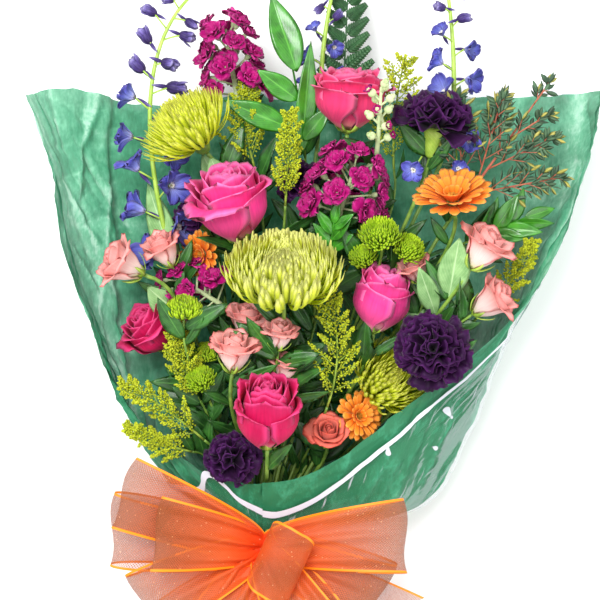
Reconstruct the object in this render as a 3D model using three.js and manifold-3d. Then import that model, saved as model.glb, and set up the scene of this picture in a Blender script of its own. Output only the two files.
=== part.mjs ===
// A mixed flower bouquet that lies on its back in its wrapper, in millimetres. +Y runs from the cut
// stems to the flower tips, +Z is up, and the origin is the middle of the flat spot that the
// wrapper's back rests on.
import * as THREE from "three";
import { mergeVertices } from "three/addons/utils/BufferGeometryUtils.js";
import Module from "manifold-3d";

const wasm = await Module();
wasm.setup();

const { sin, cos, abs, min, max, sqrt, exp, pow, PI, hypot } = Math;
const GAP = 0.35; // clearance kept between two pieces that touch
const vec = (x, y, z) => new THREE.Vector3(x, y, z);
const mix = (a, b, t) => a + (b - a) * t;
const step = (t, from, to) => THREE.MathUtils.smoothstep(t, from, to);

// The tie: all stems and both sheets are gathered through a ring round this point.
const TIE = vec(-36, -237, 46);
const BUNCH_RADIUS = 17; // the stems, gathered
const NECK_RADIUS = 20; // the tissue, gathered round them
const NECK_HALF = 9; // half the length over which the tie keeps the sheets straight
const STEM_SPACING = 4.5;
const CUT_END = 118; // the stems' length below the tie
const WRAP_TAIL = 75; // the sheets' length below the tie
const WRAP_LENGTH = 440; // the tissue's length above the tie, at the back and sides
const FRONT_LENGTH = 62; // the tissue's length above the tie, at the front
const FILM_GAP = 5.6; // from the tissue's outer face out to the cellophane's
const RIBBON_WIDTH = 70;

// A repeatable random number from 0 to 1.
let seed = 7;
function random() {
  seed = (seed * 16807) % 2147483647;
  return seed / 2147483647;
}

// ---- Solids -------------------------------------------------------------------------------------

// A closed geometry as a solid: shared vertices are merged, and faces that closed up are dropped.
function solid(geometry) {
  geometry.deleteAttribute("normal");
  geometry.deleteAttribute("uv");
  const merged = mergeVertices(geometry, 1e-4);
  const points = merged.attributes.position.array;
  const corners = merged.index.array;
  const triangles = [];
  for (let i = 0; i < corners.length; i += 3) {
    const [a, b, c] = [corners[i], corners[i + 1], corners[i + 2]];
    if (a !== b && b !== c && c !== a) triangles.push(a, b, c);
  }
  const mesh = { numProp: 3, vertProperties: points, triVerts: new Uint32Array(triangles) };
  const made = new wasm.Manifold(new wasm.Mesh(mesh));
  if (made.volume() > 0) return made;
  for (let i = 0; i < triangles.length; i += 3) {
    [triangles[i + 1], triangles[i + 2]] = [triangles[i + 2], triangles[i + 1]];
  }
  mesh.triVerts = new Uint32Array(triangles);
  return new wasm.Manifold(new wasm.Mesh(mesh));
}

function geometryFrom(points, triangles) {
  const geometry = new THREE.BufferGeometry();
  const flat = points.flatMap((p) => [p.x, p.y, p.z]);
  geometry.setAttribute("position", new THREE.Float32BufferAttribute(flat, 3));
  geometry.setIndex(triangles);
  return geometry;
}

function geometryOf(body) {
  const mesh = body.getMesh();
  const geometry = new THREE.BufferGeometry();
  geometry.setAttribute("position", new THREE.BufferAttribute(mesh.vertProperties, 3));
  geometry.setIndex(new THREE.BufferAttribute(mesh.triVerts, 1));
  const drawn = geometry.toNonIndexed();
  drawn.computeVertexNormals();
  return drawn;
}

// The largest body of a join, without loose scraps or the slivers of the cuts.
function joined(bodies) {
  const parts = wasm.Manifold.union(bodies).simplify(0.03).decompose();
  return parts.reduce((a, b) => (a.volume() > b.volume() ? a : b));
}

// A blade round a middle surface place(u, v), u from 0 at the root to 1 at the tip, v from -1 to 1
// across. It is thickest inside and closes to a line along its rim.
function blade(rows, cols, thickness, place) {
  const middle = [];
  for (let i = 0; i <= rows; i++) {
    for (let j = 0; j <= cols; j++) middle.push(place(i / rows, (2 * j) / cols - 1));
  }
  const limit = (n, top) => max(0, min(top, n));
  const at = (i, j) => middle[limit(i, rows) * (cols + 1) + limit(j, cols)];
  const points = [];
  const triangles = [];
  for (const side of [1, -1]) {
    const first = points.length;
    for (let i = 0; i <= rows; i++) {
      for (let j = 0; j <= cols; j++) {
        const along = at(i + 1, j).clone().sub(at(i - 1, j));
        const across = at(i, j + 1).clone().sub(at(i, j - 1));
        const inside = i > 0 && i < rows && j > 0 && j < cols;
        const lift = inside ? (side * thickness) / 2 : 0;
        points.push(along.cross(across).normalize().multiplyScalar(lift).add(at(i, j)));
      }
    }
    for (let i = 0; i < rows; i++) {
      for (let j = 0; j < cols; j++) {
        const a = first + i * (cols + 1) + j;
        const [b, c, d] = [a + 1, a + cols + 2, a + cols + 1];
        const faces = j < cols / 2 ? [a, b, c, a, c, d] : [a, b, d, b, c, d];
        triangles.push(...(side > 0 ? faces : faces.reverse()));
      }
    }
  }
  return solid(geometryFrom(points, triangles));
}

// A rod along a curve, with a radius that may change along it and a flat cap at each end.
function rod(curve, steps, sides, radius) {
  const frames = curve.computeFrenetFrames(steps, false);
  const points = [];
  const triangles = [];
  for (let i = 0; i <= steps; i++) {
    const centre = curve.getPointAt(i / steps);
    for (let k = 0; k < sides; k++) {
      const turn = (2 * PI * k) / sides;
      const out = frames.normals[i].clone().multiplyScalar(cos(turn));
      out.addScaledVector(frames.binormals[i], sin(turn));
      points.push(out.multiplyScalar(radius(i / steps)).add(centre));
    }
  }
  for (let i = 0; i < steps; i++) {
    for (let k = 0; k < sides; k++) {
      const [a, b] = [i * sides + k, i * sides + ((k + 1) % sides)];
      triangles.push(a, b, b + sides, a, b + sides, a + sides);
    }
  }
  for (let k = 1; k < sides - 1; k++) {
    const last = steps * sides;
    triangles.push(0, k + 1, k, last, last + k, last + k + 1);
  }
  return solid(geometryFrom(points, triangles));
}

const line = (...points) => new THREE.CatmullRomCurve3(points);

// A thin star about its local Z axis: its rim goes round the points rim(turn), given as
// [radius, height], and both faces are fans from the middle, which is `thick` thick.
function star(count, thick, rim) {
  const points = [vec(0, 0, thick / 2), vec(0, 0, -thick / 2)];
  const triangles = [];
  for (let k = 0; k < count; k++) {
    const turn = (2 * PI * k) / count;
    const [radius, height] = rim(k, turn);
    points.push(vec(radius * cos(turn), radius * sin(turn), height));
  }
  for (let k = 0; k < count; k++) {
    const [a, b] = [k + 2, ((k + 1) % count) + 2];
    triangles.push(0, a, b, 1, b, a);
  }
  return solid(geometryFrom(points, triangles));
}

// A profile of [radius, height] points turned about the Y axis.
function lathe(profile, segments) {
  const points = profile.map(([radius, height]) => new THREE.Vector2(radius, height));
  return solid(new THREE.LatheGeometry(points, segments));
}

// ---- Placing ------------------------------------------------------------------------------------

// The turn and move that set a local Z axis along `axis` at a point, turned by `roll` about it.
function pose(at, axis, roll = 0) {
  const up = axis.clone().normalize();
  const turn = new THREE.Quaternion().setFromUnitVectors(vec(0, 0, 1), up);
  turn.multiply(new THREE.Quaternion().setFromAxisAngle(vec(0, 0, 1), roll));
  return new THREE.Matrix4().compose(at, turn, vec(1, 1, 1));
}
const put = (body, matrix) => body.transform(matrix.elements);
const LATHE_UP = new THREE.Matrix4().makeRotationX(PI / 2); // a lathe's Y axis to Z

const placed = [];
const bouquet = new THREE.Group();

function isNear(a, b) {
  return [0, 1, 2].every((k) => a.min[k] - GAP < b.max[k] && b.min[k] - GAP < a.max[k]);
}

// True where a body keeps the gap to every piece that is already in the bouquet.
function isClear(body) {
  const box = body.boundingBox();
  return placed.every((p) => !isNear(box, p.box) || body.minGap(p.body, GAP * 2) > GAP);
}

// The first of a part's ways to lie, way(0), way(1), ..., that is clear. A part that nothing lets
// lie clear is left out.
function firstClear(ways, way) {
  for (let n = 0; n < ways; n++) {
    const body = way(n);
    if (isClear(body)) return [body];
  }
  return [];
}

function add(name, colour, roughness, body) {
  const material = new THREE.MeshStandardMaterial({ color: colour, roughness, metalness: 0 });
  const mesh = new THREE.Mesh(geometryOf(body), material);
  mesh.name = name;
  bouquet.add(mesh);
  placed.push({ name, body, box: body.boundingBox() });
}

// ---- Wrapper: tissue and cellophane gathered at the tie ----------------------------------------

// Half width of the gathered sheet, t above the tie, on its left (-X) and right (+X) side. The
// right side balloons out just above the tie.
const halfWidth = (t, right) => {
  if (t < 0) return NECK_RADIUS + 18 * pow(min(1, -t / WRAP_TAIL), 1.4);
  const [swell, reach, slope] = right ? [134, 11, 0.42] : [84, 45, 0.28];
  const past = max(0, t - NECK_HALF);
  return NECK_RADIUS + swell * (1 - exp(-past / reach)) + slope * past;
};

// A point of the sheet: t along the bunch from the tie, turn 0 under the back, 90 degrees at the
// sides and 180 at the front, positive to the right. `out` offsets the sheet outwards.
function sheetPoint(t, turn, out) {
  const right = turn > 0;
  const [opens, open] = right ? [120, 270] : [60, 180];
  const openness = step(t, opens, open); // 1 where the side wall stands free and flares out
  const steep = abs(turn) > PI / 2;
  const flare = 0.06 * ((abs(turn) - PI / 2) / (PI / 2));
  const side = steep ? mix(abs(sin(turn)), 1 + flare, openness) : abs(sin(turn));
  const half = halfWidth(t, right) + out;
  const flat = 0.06 * step(t, NECK_HALF, 100); // how much of the turn lies flat under the back
  const rise = max(0, ((1 - cos(turn)) / 2 - flat) / (1 - flat));
  const tail = 19 * pow(min(1, max(0, -t / WRAP_TAIL)), 1.4);
  const neckFloor = TIE.z - NECK_RADIUS;
  const past = max(0, t - NECK_HALF);
  const floor = t < 0 ? neckFloor - tail : mix(FILM_GAP, neckFloor, pow(max(0, 1 - past / 110), 2));
  const top = TIE.z + NECK_RADIUS + (t < 0 ? tail / 8 : 140 * (1 - exp(-past / 230)));
  const pleat = (t < 60 ? 1 : exp((60 - t) / 90)) * step(abs(t), 6, 30) * 2 * sin(9 * turn);
  const wave = 5 * sin(3.2 * turn + t / 38) * sin(abs(turn)) * step(t, 90, 300);
  const width = side * (half + pleat + wave) * (right ? 1 : -1);
  const height = mix(floor - out, top + out, rise) + pleat * max(0, rise - 0.2);
  return vec(TIE.x + width, TIE.y + t, height);
}

// Length above the tie of the tissue, which is short at the front and full at the back and sides.
function tissueLength(turn) {
  const past = max(0, (PI - abs(turn)) / (PI / 2));
  if (past >= 1) return WRAP_LENGTH + (turn < 0 ? 6 : 0) * cos(6 * turn);
  return mix(FRONT_LENGTH, WRAP_LENGTH, pow(past, turn > 0 ? 2 : 3.3));
}

// The cellophane's own edge: past the tissue at the back, lower on the front and off the left side.
function filmLength(turn) {
  const back = WRAP_LENGTH + 8;
  const past = (PI - abs(turn)) / (PI / 2);
  if (turn > 0) return past < 1 ? mix(40, 335, pow(past, 1.6)) : mix(335, back, step(past, 1, 1.35));
  return past < 1 ? mix(40, 62, sin(past * PI)) : mix(40, back, step(past, 1.05, 1.8));
}

// A sheet as a closed shell: `cols` columns round the bunch, with the rows `low` near the tie and
// `high` more up to the sheet's edge, and a rim at both ends.
function shell(out, thickness, cols, edge) {
  const low = [-WRAP_TAIL, -34, -NECK_HALF, NECK_HALF, 19, 42];
  const high = 5;
  const rows = low.length + high;
  const points = [];
  for (const layer of [out, out - thickness]) {
    for (let i = 0; i < rows; i++) {
      for (let j = 0; j < cols; j++) {
        const turn = -PI + (2 * PI * (j + 0.5)) / cols;
        const start = min(low[min(i, low.length - 1)], edge(turn) - 4);
        const share = max(0, (i - low.length + 1) / high);
        points.push(sheetPoint(mix(start, edge(turn), share), turn, layer));
      }
    }
  }
  const triangles = [];
  const inner = rows * cols;
  for (let j = 0; j < cols; j++) {
    const k = (j + 1) % cols;
    for (let i = 0; i < rows - 1; i++) {
      const [a, b, c, d] = [i * cols + j, i * cols + k, (i + 1) * cols + k, (i + 1) * cols + j];
      triangles.push(a, b, c, a, c, d);
      triangles.push(inner + a, inner + c, inner + b, inner + a, inner + d, inner + c);
    }
    const top = (rows - 1) * cols;
    triangles.push(j, inner + k, k, j, inner + j, inner + k);
    triangles.push(top + j, top + k, top + inner + k, top + j, top + inner + k, top + inner + j);
  }
  return solid(geometryFrom(points, triangles));
}

add("tissue_wrap", "#5fae87", 0.75, shell(0, 0.9, 26, tissueLength));
add("cellophane_wrap", "#e6eef2", 0.08, shell(FILM_GAP, 0.8, 26, filmLength));

// ---- Binding and bow ----------------------------------------------------------------------------

const BINDING_INSIDE = NECK_RADIUS + FILM_GAP + 1.2;
const BINDING_OUTSIDE = BINDING_INSIDE + 2.4;
const KNOT_RADIUS = 15;
const KNOT = vec(TIE.x, TIE.y, TIE.z + BINDING_OUTSIDE + GAP + KNOT_RADIUS);

function bindingRing() {
  const [inside, outside, half] = [BINDING_INSIDE, BINDING_OUTSIDE, 5];
  const corners = [[inside, -half], [outside, -half], [outside, half], [inside, half]];
  const ring = lathe([...corners, corners[0]], 20);
  return put(ring, new THREE.Matrix4().setPosition(TIE));
}
add("binding", "#d9b26a", 0.7, bindingRing());

// A ribbon loop: its middle line leaves the knot, turns back at `reach` and returns `puff` lower.
// The ribbon is pinched at the knot and full width at the turn.
function ribbonLoop(heading, reach, rise, puff) {
  const way = vec(cos(heading), sin(heading), 0);
  const across = vec(-sin(heading), cos(heading), 0);
  return blade(6, 2, 0.9, (u, v) => {
    const out = (1 - cos(2 * PI * u)) / 2;
    const half = mix(7, RIBBON_WIDTH / 2, pow(sin(PI * u), 0.7));
    const lift = rise * out + puff * sin(2 * PI * u) * sin(PI * u) + 3 * v * v * out;
    return KNOT.clone().addScaledVector(way, reach * out).addScaledVector(across, half * v)
      .add(vec(0, 0, lift));
  });
}

// A loose end of the ribbon, which widens from the knot and ends in a notch.
function ribbonTail(heading, reach, drop) {
  const way = vec(cos(heading), sin(heading), 0);
  const across = vec(-sin(heading), cos(heading), 0);
  return blade(4, 2, 0.9, (u, v) => {
    const half = mix(7, RIBBON_WIDTH / 2, pow(u, 0.6));
    const notch = u > 0.9 ? -22 * (1 - abs(v)) : 0;
    const lift = -drop * u + 7 * sin(2 * PI * u) + 4 * v * u;
    return KNOT.clone().addScaledVector(way, reach * u + notch).addScaledVector(across, half * v)
      .add(vec(0, 0, lift));
  });
}

const DEGREES = PI / 180;
const LOOPS = [
  // heading in degrees, reach, rise, puff
  [156, 144, 34, 14],
  [173, 147, 8, 10],
  [204, 120, 26, 13],
  [9, 136, 30, 14],
  [-22, 122, 4, 10],
  [250, 112, 4, 11],
  [302, 108, 24, 13],
];
const TAILS = [
  // heading in degrees, reach, drop
  [226, 168, 8],
  [276, 150, 10],
];

function bow() {
  const ball = solid(new THREE.SphereGeometry(KNOT_RADIUS, 12, 6));
  const knot = put(ball, new THREE.Matrix4().setPosition(KNOT));
  const loops = LOOPS.map(([turn, ...shape]) => ribbonLoop(turn * DEGREES, ...shape));
  const tails = TAILS.map(([turn, ...shape]) => ribbonTail(turn * DEGREES, ...shape));
  return joined([knot, ...loops, ...tails]);
}
add("ribbon_bow", "#f4743b", 0.5, bow());

// ---- Flower heads -------------------------------------------------------------------------------

// A head is one closed surface about its local Z axis, from -1 at its base to +1 along the axis and
// 1 out from it, before it is given its size. `rows` go from the base over the outermost petals'
// tips, down between them and the next ones, and so on to the middle, so each tip row stands free.
// A row is [radius, height, wave]: wave(k) gives how far column k moves out and up.
function whorl(columns, rows, size, half) {
  const points = [];
  const triangles = [];
  for (const [radius, height, wave] of rows) {
    for (let k = 0; k < columns; k++) {
      const [out, up] = wave ? wave(k) : [0, 0];
      const turn = (2 * PI * k) / columns;
      const reach = size * (radius + out);
      points.push(vec(reach * cos(turn), reach * sin(turn), half * (height + up)));
    }
  }
  for (let i = 0; i < rows.length - 1; i++) {
    for (let k = 0; k < columns; k++) {
      const [a, b] = [i * columns + k, i * columns + ((k + 1) % columns)];
      triangles.push(a, b, b + columns, a, b + columns, a + columns);
    }
  }
  const last = (rows.length - 1) * columns;
  const [base, top] = [points.length, points.length + 1];
  points.push(vec(0, 0, -half), vec(0, 0, half * (rows[rows.length - 1][1] - 0.05)));
  for (let k = 0; k < columns; k++) {
    const next = (k + 1) % columns;
    triangles.push(base, next, k, top, last + k, last + next);
  }
  return solid(geometryFrom(points, triangles));
}

// Petals that overlap like tiles: out at one edge, tucked in at the other, highest in the middle.
const tiled = (perPetal, shift, out, up) => (k) => {
  const across = ((k + shift) % perPetal) / (perPetal - 1);
  return [out * (across - 0.5), up * sin(PI * across) - up / 2];
};
// Petals side by side with a notch between each two.
const notched = (shift, out, up) => (k) => ((k + shift) % 2 ? [0, 0] : [-out, -up]);
// A frilled edge.
const frilled = (shift, out, up) => (k) => [
  (k + shift) % 2 ? 0 : -out,
  up * [1, 0.2, -1, -0.2][(k + shift) % 4],
];

function rose(size, half) {
  const rows = [
    [0.42, -0.82, null],
    [0.82, -0.3, tiled(3, 0, 0.1, 0.1)],
    [0.96, 0.4, tiled(3, 0, 0.12, 0.34)],
    [0.72, 0.3, null],
    [0.78, 0.72, tiled(3, 1, 0.1, 0.28)],
    [0.52, 0.5, null],
    [0.52, 0.9, tiled(4, 1, 0.12, 0.16)],
    [0.32, 0.62, null],
    [0.27, 0.92, tiled(3, 2, 0.08, 0.12)],
  ];
  return whorl(12, rows, size, half);
}

function sprayRose(size, half) {
  const rows = [
    [0.45, -0.8, null],
    [0.86, -0.1, tiled(3, 0, 0.12, 0.1)],
    [0.94, 0.6, tiled(3, 0, 0.12, 0.4)],
    [0.62, 0.42, null],
    [0.6, 0.86, tiled(3, 1, 0.12, 0.24)],
    [0.3, 0.6, null],
  ];
  return whorl(9, rows, size, half);
}

function carnation(size, half) {
  const columns = size > 30 ? 20 : 14;
  const rows = [
    [0.3, -0.85, null],
    [0.6, -0.5, frilled(0, 0.05, 0.1)],
    [1, -0.15, frilled(0, 0.14, 0.16)],
    [0.66, 0.1, null],
    [0.88, 0.42, frilled(1, 0.12, 0.16)],
    [0.46, 0.45, null],
    [0.5, 0.84, frilled(2, 0.12, 0.14)],
    [0.2, 0.62, null],
  ];
  return whorl(columns, rows, size, half);
}

// The big mum curls its petals in to a dome, and the spider mums hold theirs out straight.
function footballMum(size, half) {
  const rows = [
    [0.34, -0.85, null],
    [1, -0.3, notched(0, 0.24, -0.2)],
    [0.74, -0.1, null],
    [0.96, 0.22, notched(1, 0.18, 0.1)],
    [0.66, 0.3, null],
    [0.78, 0.66, notched(0, 0.16, 0.12)],
    [0.42, 0.6, null],
    [0.42, 0.94, notched(1, 0.14, 0.14)],
  ];
  return whorl(24, rows, size, half);
}

function spiderMum(size, half) {
  const rows = [
    [0.3, -0.85, null],
    [0.98, -0.35, notched(0, 0.42, -0.1)],
    [0.46, -0.1, null],
    [1, 0.3, notched(1, 0.4, 0.1)],
    [0.4, 0.3, null],
    [0.7, 0.8, notched(0, 0.3, 0.3)],
    [0.2, 0.5, null],
  ];
  return whorl(24, rows, size, half);
}

function buttonPom(size, half) {
  const rows = [
    [0.5, -0.7, null],
    [1, -0.1, notched(0, 0.2, -0.1)],
    [0.72, 0.35, null],
    [0.7, 0.7, notched(1, 0.24, 0.1)],
  ];
  return whorl(14, rows, size, half);
}

function gerbera(size, half) {
  const columns = size > 30 ? 32 : 20;
  const rows = [
    [0.2, -0.6, null],
    [1, 0.35, notched(0, 0.55, 0.3)],
    [0.34, 0.3, null],
    [0.72, 0.85, notched(1, 0.36, 0.3)],
    [0.22, 0.4, null],
  ];
  return whorl(columns, rows, size, half);
}

const HEADS = [
  // name, kind, middle, axis, size, half height
  ["rose_1", "rose", [46, 188, 95], [0.05, 1, 0.25], 36, 31],
  ["rose_2", "rose", [-60, 82, 106], [-0.35, 0.75, 0.75], 37, 34],
  ["rose_3", "rose", [73, -3, 108], [0.35, 0.85, 0.5], 29, 29],
  ["rose_4", "rose", [-30, -109, 138], [0, 0.8, 0.75], 32, 33],
  ["rose_5", "rose", [-140, -34, 80], [-0.5, 0.6, 0.4], 26, 24],
  ["spray_rose_1", "bud", [-162, 30, 118], [-0.9, 0.45, 0.35], 21, 21],
  ["spray_rose_2", "bud", [-127, 44, 104], [-0.4, 0.8, 0.4], 17, 18],
  ["spray_rose_3", "bud", [-52, -22, 102], [0.1, 0.95, 0.4], 18, 17],
  ["spray_rose_4", "bud", [-62, -51, 140], [0.1, 0.95, 0.4], 20, 20],
  ["spray_rose_5", "bud", [-19, -35, 128], [0.1, 0.95, 0.4], 15, 15],
  ["spray_rose_6", "bud", [-14, -66, 112], [0.2, 0.95, 0.3], 14, 14],
  ["spray_rose_7", "bud", [166, 43, 142], [0.5, 0.8, 0.35], 22, 22],
  ["spray_rose_8", "bud", [175, -4, 122], [0.75, 0.55, 0.35], 19, 21],
  ["spray_rose_9", "bud", [110, 26, 116], [-0.4, 0.8, 0.4], 14, 14],
  ["spray_rose_10", "bud", [26, -131, 92], [0.05, 0.6, 0.8], 16, 15],
  ["carnation_1", "carnation", [129, 174, 110], [0.1, 0.9, 0.4], 40, 26],
  ["carnation_2", "carnation", [119, -42, 146], [-0.15, 0.3, 0.95], 39, 24],
  ["carnation_3", "carnation", [-66, -148, 100], [-0.1, 0.35, 1], 29, 22],
  ["carnation_4", "carnation", [-2, 117, 88], [-0.1, 0.6, 0.8], 24, 18],
  ["carnation_5", "carnation", [-107, 86, 74], [-0.5, 0.6, 0.5], 22, 17],
  ["football_mum", "football", [-15, 25, 156], [0, 0.8, 0.65], 54, 32],
  ["spider_mum_1", "spider", [-104, 160, 104], [-0.5, 0.75, 0.35], 46, 27],
  ["spider_mum_2", "spider", [84, -78, 80], [0.4, 0.35, 0.85], 40, 20],
  ["button_pom_1", "button", [73, 61, 146], [-0.1, 0.55, 0.8], 18, 12],
  ["button_pom_2", "button", [59, 42, 112], [-0.2, 0.5, 0.8], 13, 10],
  ["button_pom_3", "button", [101, 49, 132], [0.3, 0.5, 0.8], 15, 11],
  ["button_pom_4", "button", [-108, -8, 136], [0, 0.9, 0.45], 17, 11],
  ["button_pom_5", "button", [-94, -74, 112], [-0.2, 0.6, 0.8], 14, 10],
  ["button_pom_6", "button", [-90, -50, 94], [0.1, 0.7, 0.6], 12, 9],
  ["gerbera_1", "gerbera", [140, 90, 142], [0.15, 0.7, 0.7], 33, 12],
  ["gerbera_2", "gerbera", [-92, 44, 86], [-0.6, -0.1, 0.8], 21, 9],
  ["gerbera_3", "gerbera", [55, -112, 84], [0.4, 0.2, 0.9], 22, 9],
];

const KINDS = {
  // colour, roughness, builder
  rose: ["#e5196a", 0.6, rose],
  bud: ["#f4a39b", 0.6, sprayRose],
  carnation: ["#3d0a5e", 0.7, carnation],
  football: ["#dde66a", 0.65, footballMum],
  spider: ["#d9de3a", 0.65, spiderMum],
  button: ["#9cc31a", 0.7, buttonPom],
  gerbera: ["#f78a1f", 0.6, gerbera],
};

const heads = [];
for (const [name, kind, middle, axis, size, half] of HEADS) {
  const [colour, roughness, build] = KINDS[kind];
  const [at, up, roll] = [vec(...middle), vec(...axis).normalize(), random() * PI];
  const [body] = firstClear(8, (n) => {
    const share = 1 - 0.03 * n;
    return put(build(size * share, half * share), pose(at, up, roll));
  });
  add(name, colour, roughness, body);
  heads.push({ name, kind, at, up, size, half });
}

// ---- Stems --------------------------------------------------------------------------------------

// The stems that branch off another one, as on a spray, and the one they branch off.
const BRANCHES = {
  spray_rose_2: "spray_rose_1",
  spray_rose_3: "spray_rose_4",
  spray_rose_5: "spray_rose_4",
  spray_rose_6: "spray_rose_4",
  spray_rose_8: "spray_rose_7",
  spray_rose_9: "spray_rose_7",
  button_pom_2: "button_pom_1",
  button_pom_3: "button_pom_1",
  button_pom_6: "button_pom_5",
  goldenrod_2: "goldenrod_1",
  goldenrod_6: "goldenrod_5",
  goldenrod_7: "goldenrod_5",
};
const STEM_RADIUS = {
  rose: 2.1,
  bud: 1.6,
  carnation: 1.8,
  football: 2.1,
  spider: 2,
  button: 1.4,
  gerbera: 1.9,
};

// Where each stem ends, just under its head or spray, and the way it points there.
const footOf = (name, at, up, radius) => ({ name, at, up, radius, from: BRANCHES[name] });
const feet = heads.map(({ name, kind, at, up, half }) => {
  return footOf(name, at.clone().addScaledVector(up, -half - GAP), up, STEM_RADIUS[kind]);
});

// ---- Sprays and greenery ------------------------------------------------------------------------

// Each spray has its own stalk from `base` to `tip`, bowed by `bow`; a stem of the bunch ends just
// under its base.
const SPRAYS = [
  // name, kind, base, tip, bow, size
  ["delphinium_1", "delphinium", [-121, 26, 62], [-106, 290, 88], [-30, 30, 14], 19],
  ["delphinium_2", "delphinium", [20, 200, 48], [38, 326, 60], [-4, 0, 4], 12],
  ["delphinium_3", "delphinium", [150, 190, 60], [140, 324, 64], [3, 0, 6], 14],
  ["stock_1", "stock", [-60, 190, 62], [-72, 262, 74], [0, 0, 4], 34],
  ["stock_2", "stock", [30, 76, 98], [46, 130, 114], [0, 0, 6], 34],
  ["stock_3", "stock", [-78, -4, 88], [-116, 22, 84], [0, 0, 4], 22],
  ["stock_4", "budding", [72, 134, 112], [74, 194, 156], [0, 0, 10], 14],
  ["goldenrod_1", "goldenrod", [-14, 90, 96], [-8, 178, 132], [0, 0, 6], 24],
  ["goldenrod_2", "goldenrod", [-44, 128, 66], [-52, 206, 76], [-4, 0, 8], 34],
  ["goldenrod_3", "goldenrod", [92, 128, 56], [102, 236, 74], [-4, 0, -4], 40],
  ["goldenrod_4", "goldenrod", [26, -102, 92], [24, 12, 132], [10, 0, 8], 36],
  ["goldenrod_5", "goldenrod", [-92, -134, 88], [-170, -78, 112], [0, 6, 12], 26],
  ["goldenrod_6", "goldenrod", [-96, -96, 88], [-116, -20, 116], [-4, 0, 6], 26],
  ["goldenrod_7", "goldenrod", [-104, -146, 82], [-166, -118, 112], [0, -2, 8], 20],
  ["goldenrod_8", "goldenrod", [178, -10, 84], [220, 58, 100], [6, 0, 6], 22],
  ["ruscus_1", "ruscus", [4, 152, 46], [-24, 284, 92], [4, 0, 10], 42],
  ["ruscus_2", "ruscus", [168, 58, 84], [232, 86, 96], [0, 0, 6], 40],
  ["ruscus_3", "ruscus", [28, 44, 96], [34, 98, 138], [0, 0, 4], 30],
  ["fern", "fern", [40, 150, 30], [48, 318, 44], [0, 0, 10], 34],
  ["eucalyptus", "eucalyptus", [156, 92, 70], [226, 190, 84], [0, 0, 10], 16],
];

const sideways = (along) => vec(along.y, -along.x, 0).normalize();

// The stalk's curve, and at a share of it the point, its heading and the ways out and up from it.
function stalkOf(base, tip, bow) {
  const curve = line(base, base.clone().lerp(tip, 0.5).add(bow), tip);
  const along = (u) => {
    const heading = curve.getTangentAt(u);
    return { at: curve.getPointAt(u), heading, side: sideways(heading), up: vec(0, 0, 1) };
  };
  return { curve, along };
}

// A leaf: pointed at both ends, folded a little along its midrib and bent down towards the tip.
function leaf(root, way, across, length, width, droop, rows = 3) {
  return blade(rows, 2, 1.5, (u, v) => {
    const half = (width / 2) * pow(sin(PI * pow(u, 0.8)), 0.9);
    return root.clone().addScaledVector(way, length * u).addScaledVector(across, half * v)
      .add(vec(0, 0, abs(v) * half * 0.3 - droop * length * u * u));
  });
}

// One turned and tilted way out from a stalk, for trial n.
function wayOut(spot, angle, lift, n) {
  const turn = angle * (1 - 0.12 * n);
  const way = spot.heading.clone().multiplyScalar(cos(turn)).addScaledVector(spot.side, sin(turn));
  return way.add(vec(0, 0, lift + 0.22 * n)).normalize();
}

// Goldenrod: short plumes to both sides, the lowest ones longest.
function goldenrod({ along }, size) {
  return Array.from({ length: 5 }, (_, k) => {
    const u = 0.22 + 0.17 * k;
    const [spot, hand] = [along(u), k % 2 ? 1 : -1];
    const length = size * (1.05 - 0.7 * u);
    return (n) => {
      const way = wayOut(spot, hand * 0.85, 0.12 * ((k % 3) - 0.5), n);
      const end = spot.at.clone().addScaledVector(way, length);
      const middle = spot.at.clone().addScaledVector(way, length * 0.55).add(vec(0, 0, length * 0.12));
      return rod(line(spot.at, middle, end), 2, 3, (t) => 0.8 + 3.4 * sin(PI * t) + 0.6 * t);
    };
  });
}

// Delphinium: open flowers low on the stalk and buds above, each on its own short stalk.
function delphinium({ along }, size) {
  const count = size > 15 ? 12 : 5;
  return Array.from({ length: count }, (_, k) => {
    const u = 0.06 + (0.92 * k) / count;
    const [spot, hand] = [along(u), k % 2 ? 1 : -1];
    const open = k < count * 0.45;
    const reach = size * (open ? 0.95 : 0.7);
    const lift = 0.5 * sin(2.4 * k);
    return (n) => {
      const way = wayOut(spot, hand * 1.1, lift, n);
      const end = spot.at.clone().addScaledVector(way, reach);
      const pedicel = rod(line(spot.at, end), 1, 3, () => 0.9);
      const facing = way.clone().add(vec(0, 0, 0.5));
      const flower = open
        ? star(10, 5, (i) => (i % 2 ? [size * 0.42, 1] : [size * 0.95, 3]))
        : spindle(size * 0.24, size * 0.5);
      return joined([pedicel, put(flower, pose(end, open ? facing : way))]);
    };
  });
}

// A bud: four-sided, pointed at both ends.
function spindle(radius, half) {
  const body = new THREE.OctahedronGeometry(1, 0);
  return solid(body.scale(radius, radius, half));
}

// Stock: ruffled florets all round a thick spike.
function stock({ curve, along }, size) {
  const spine = line(curve.getPointAt(0.2), curve.getPointAt(0.5), curve.getPointAt(0.95));
  const core = (n) => rod(spine, 2, 5, (t) => size * (1 - 0.18 * n) * (0.36 - 0.18 * t));
  const florets = Array.from({ length: 9 }, (_, k) => {
    const spot = along(0.2 + 0.09 * k);
    const turn = 2.4 * k;
    const way = spot.side.clone().multiplyScalar(cos(turn)).add(vec(0, 0, sin(turn)));
    way.addScaledVector(spot.heading, 0.35).normalize();
    return (n) => {
      const at = spot.at.clone().addScaledVector(way, size * (0.3 - 0.12 * (k / 8)) * (1 - 0.2 * n));
      const floret = star(8, 5, (i) => (i % 2 ? [size * 0.18, 0] : [size * 0.36, i % 4 ? 4 : 1]));
      return put(floret, pose(at, way, k));
    };
  });
  return [core, ...florets];
}

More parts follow.
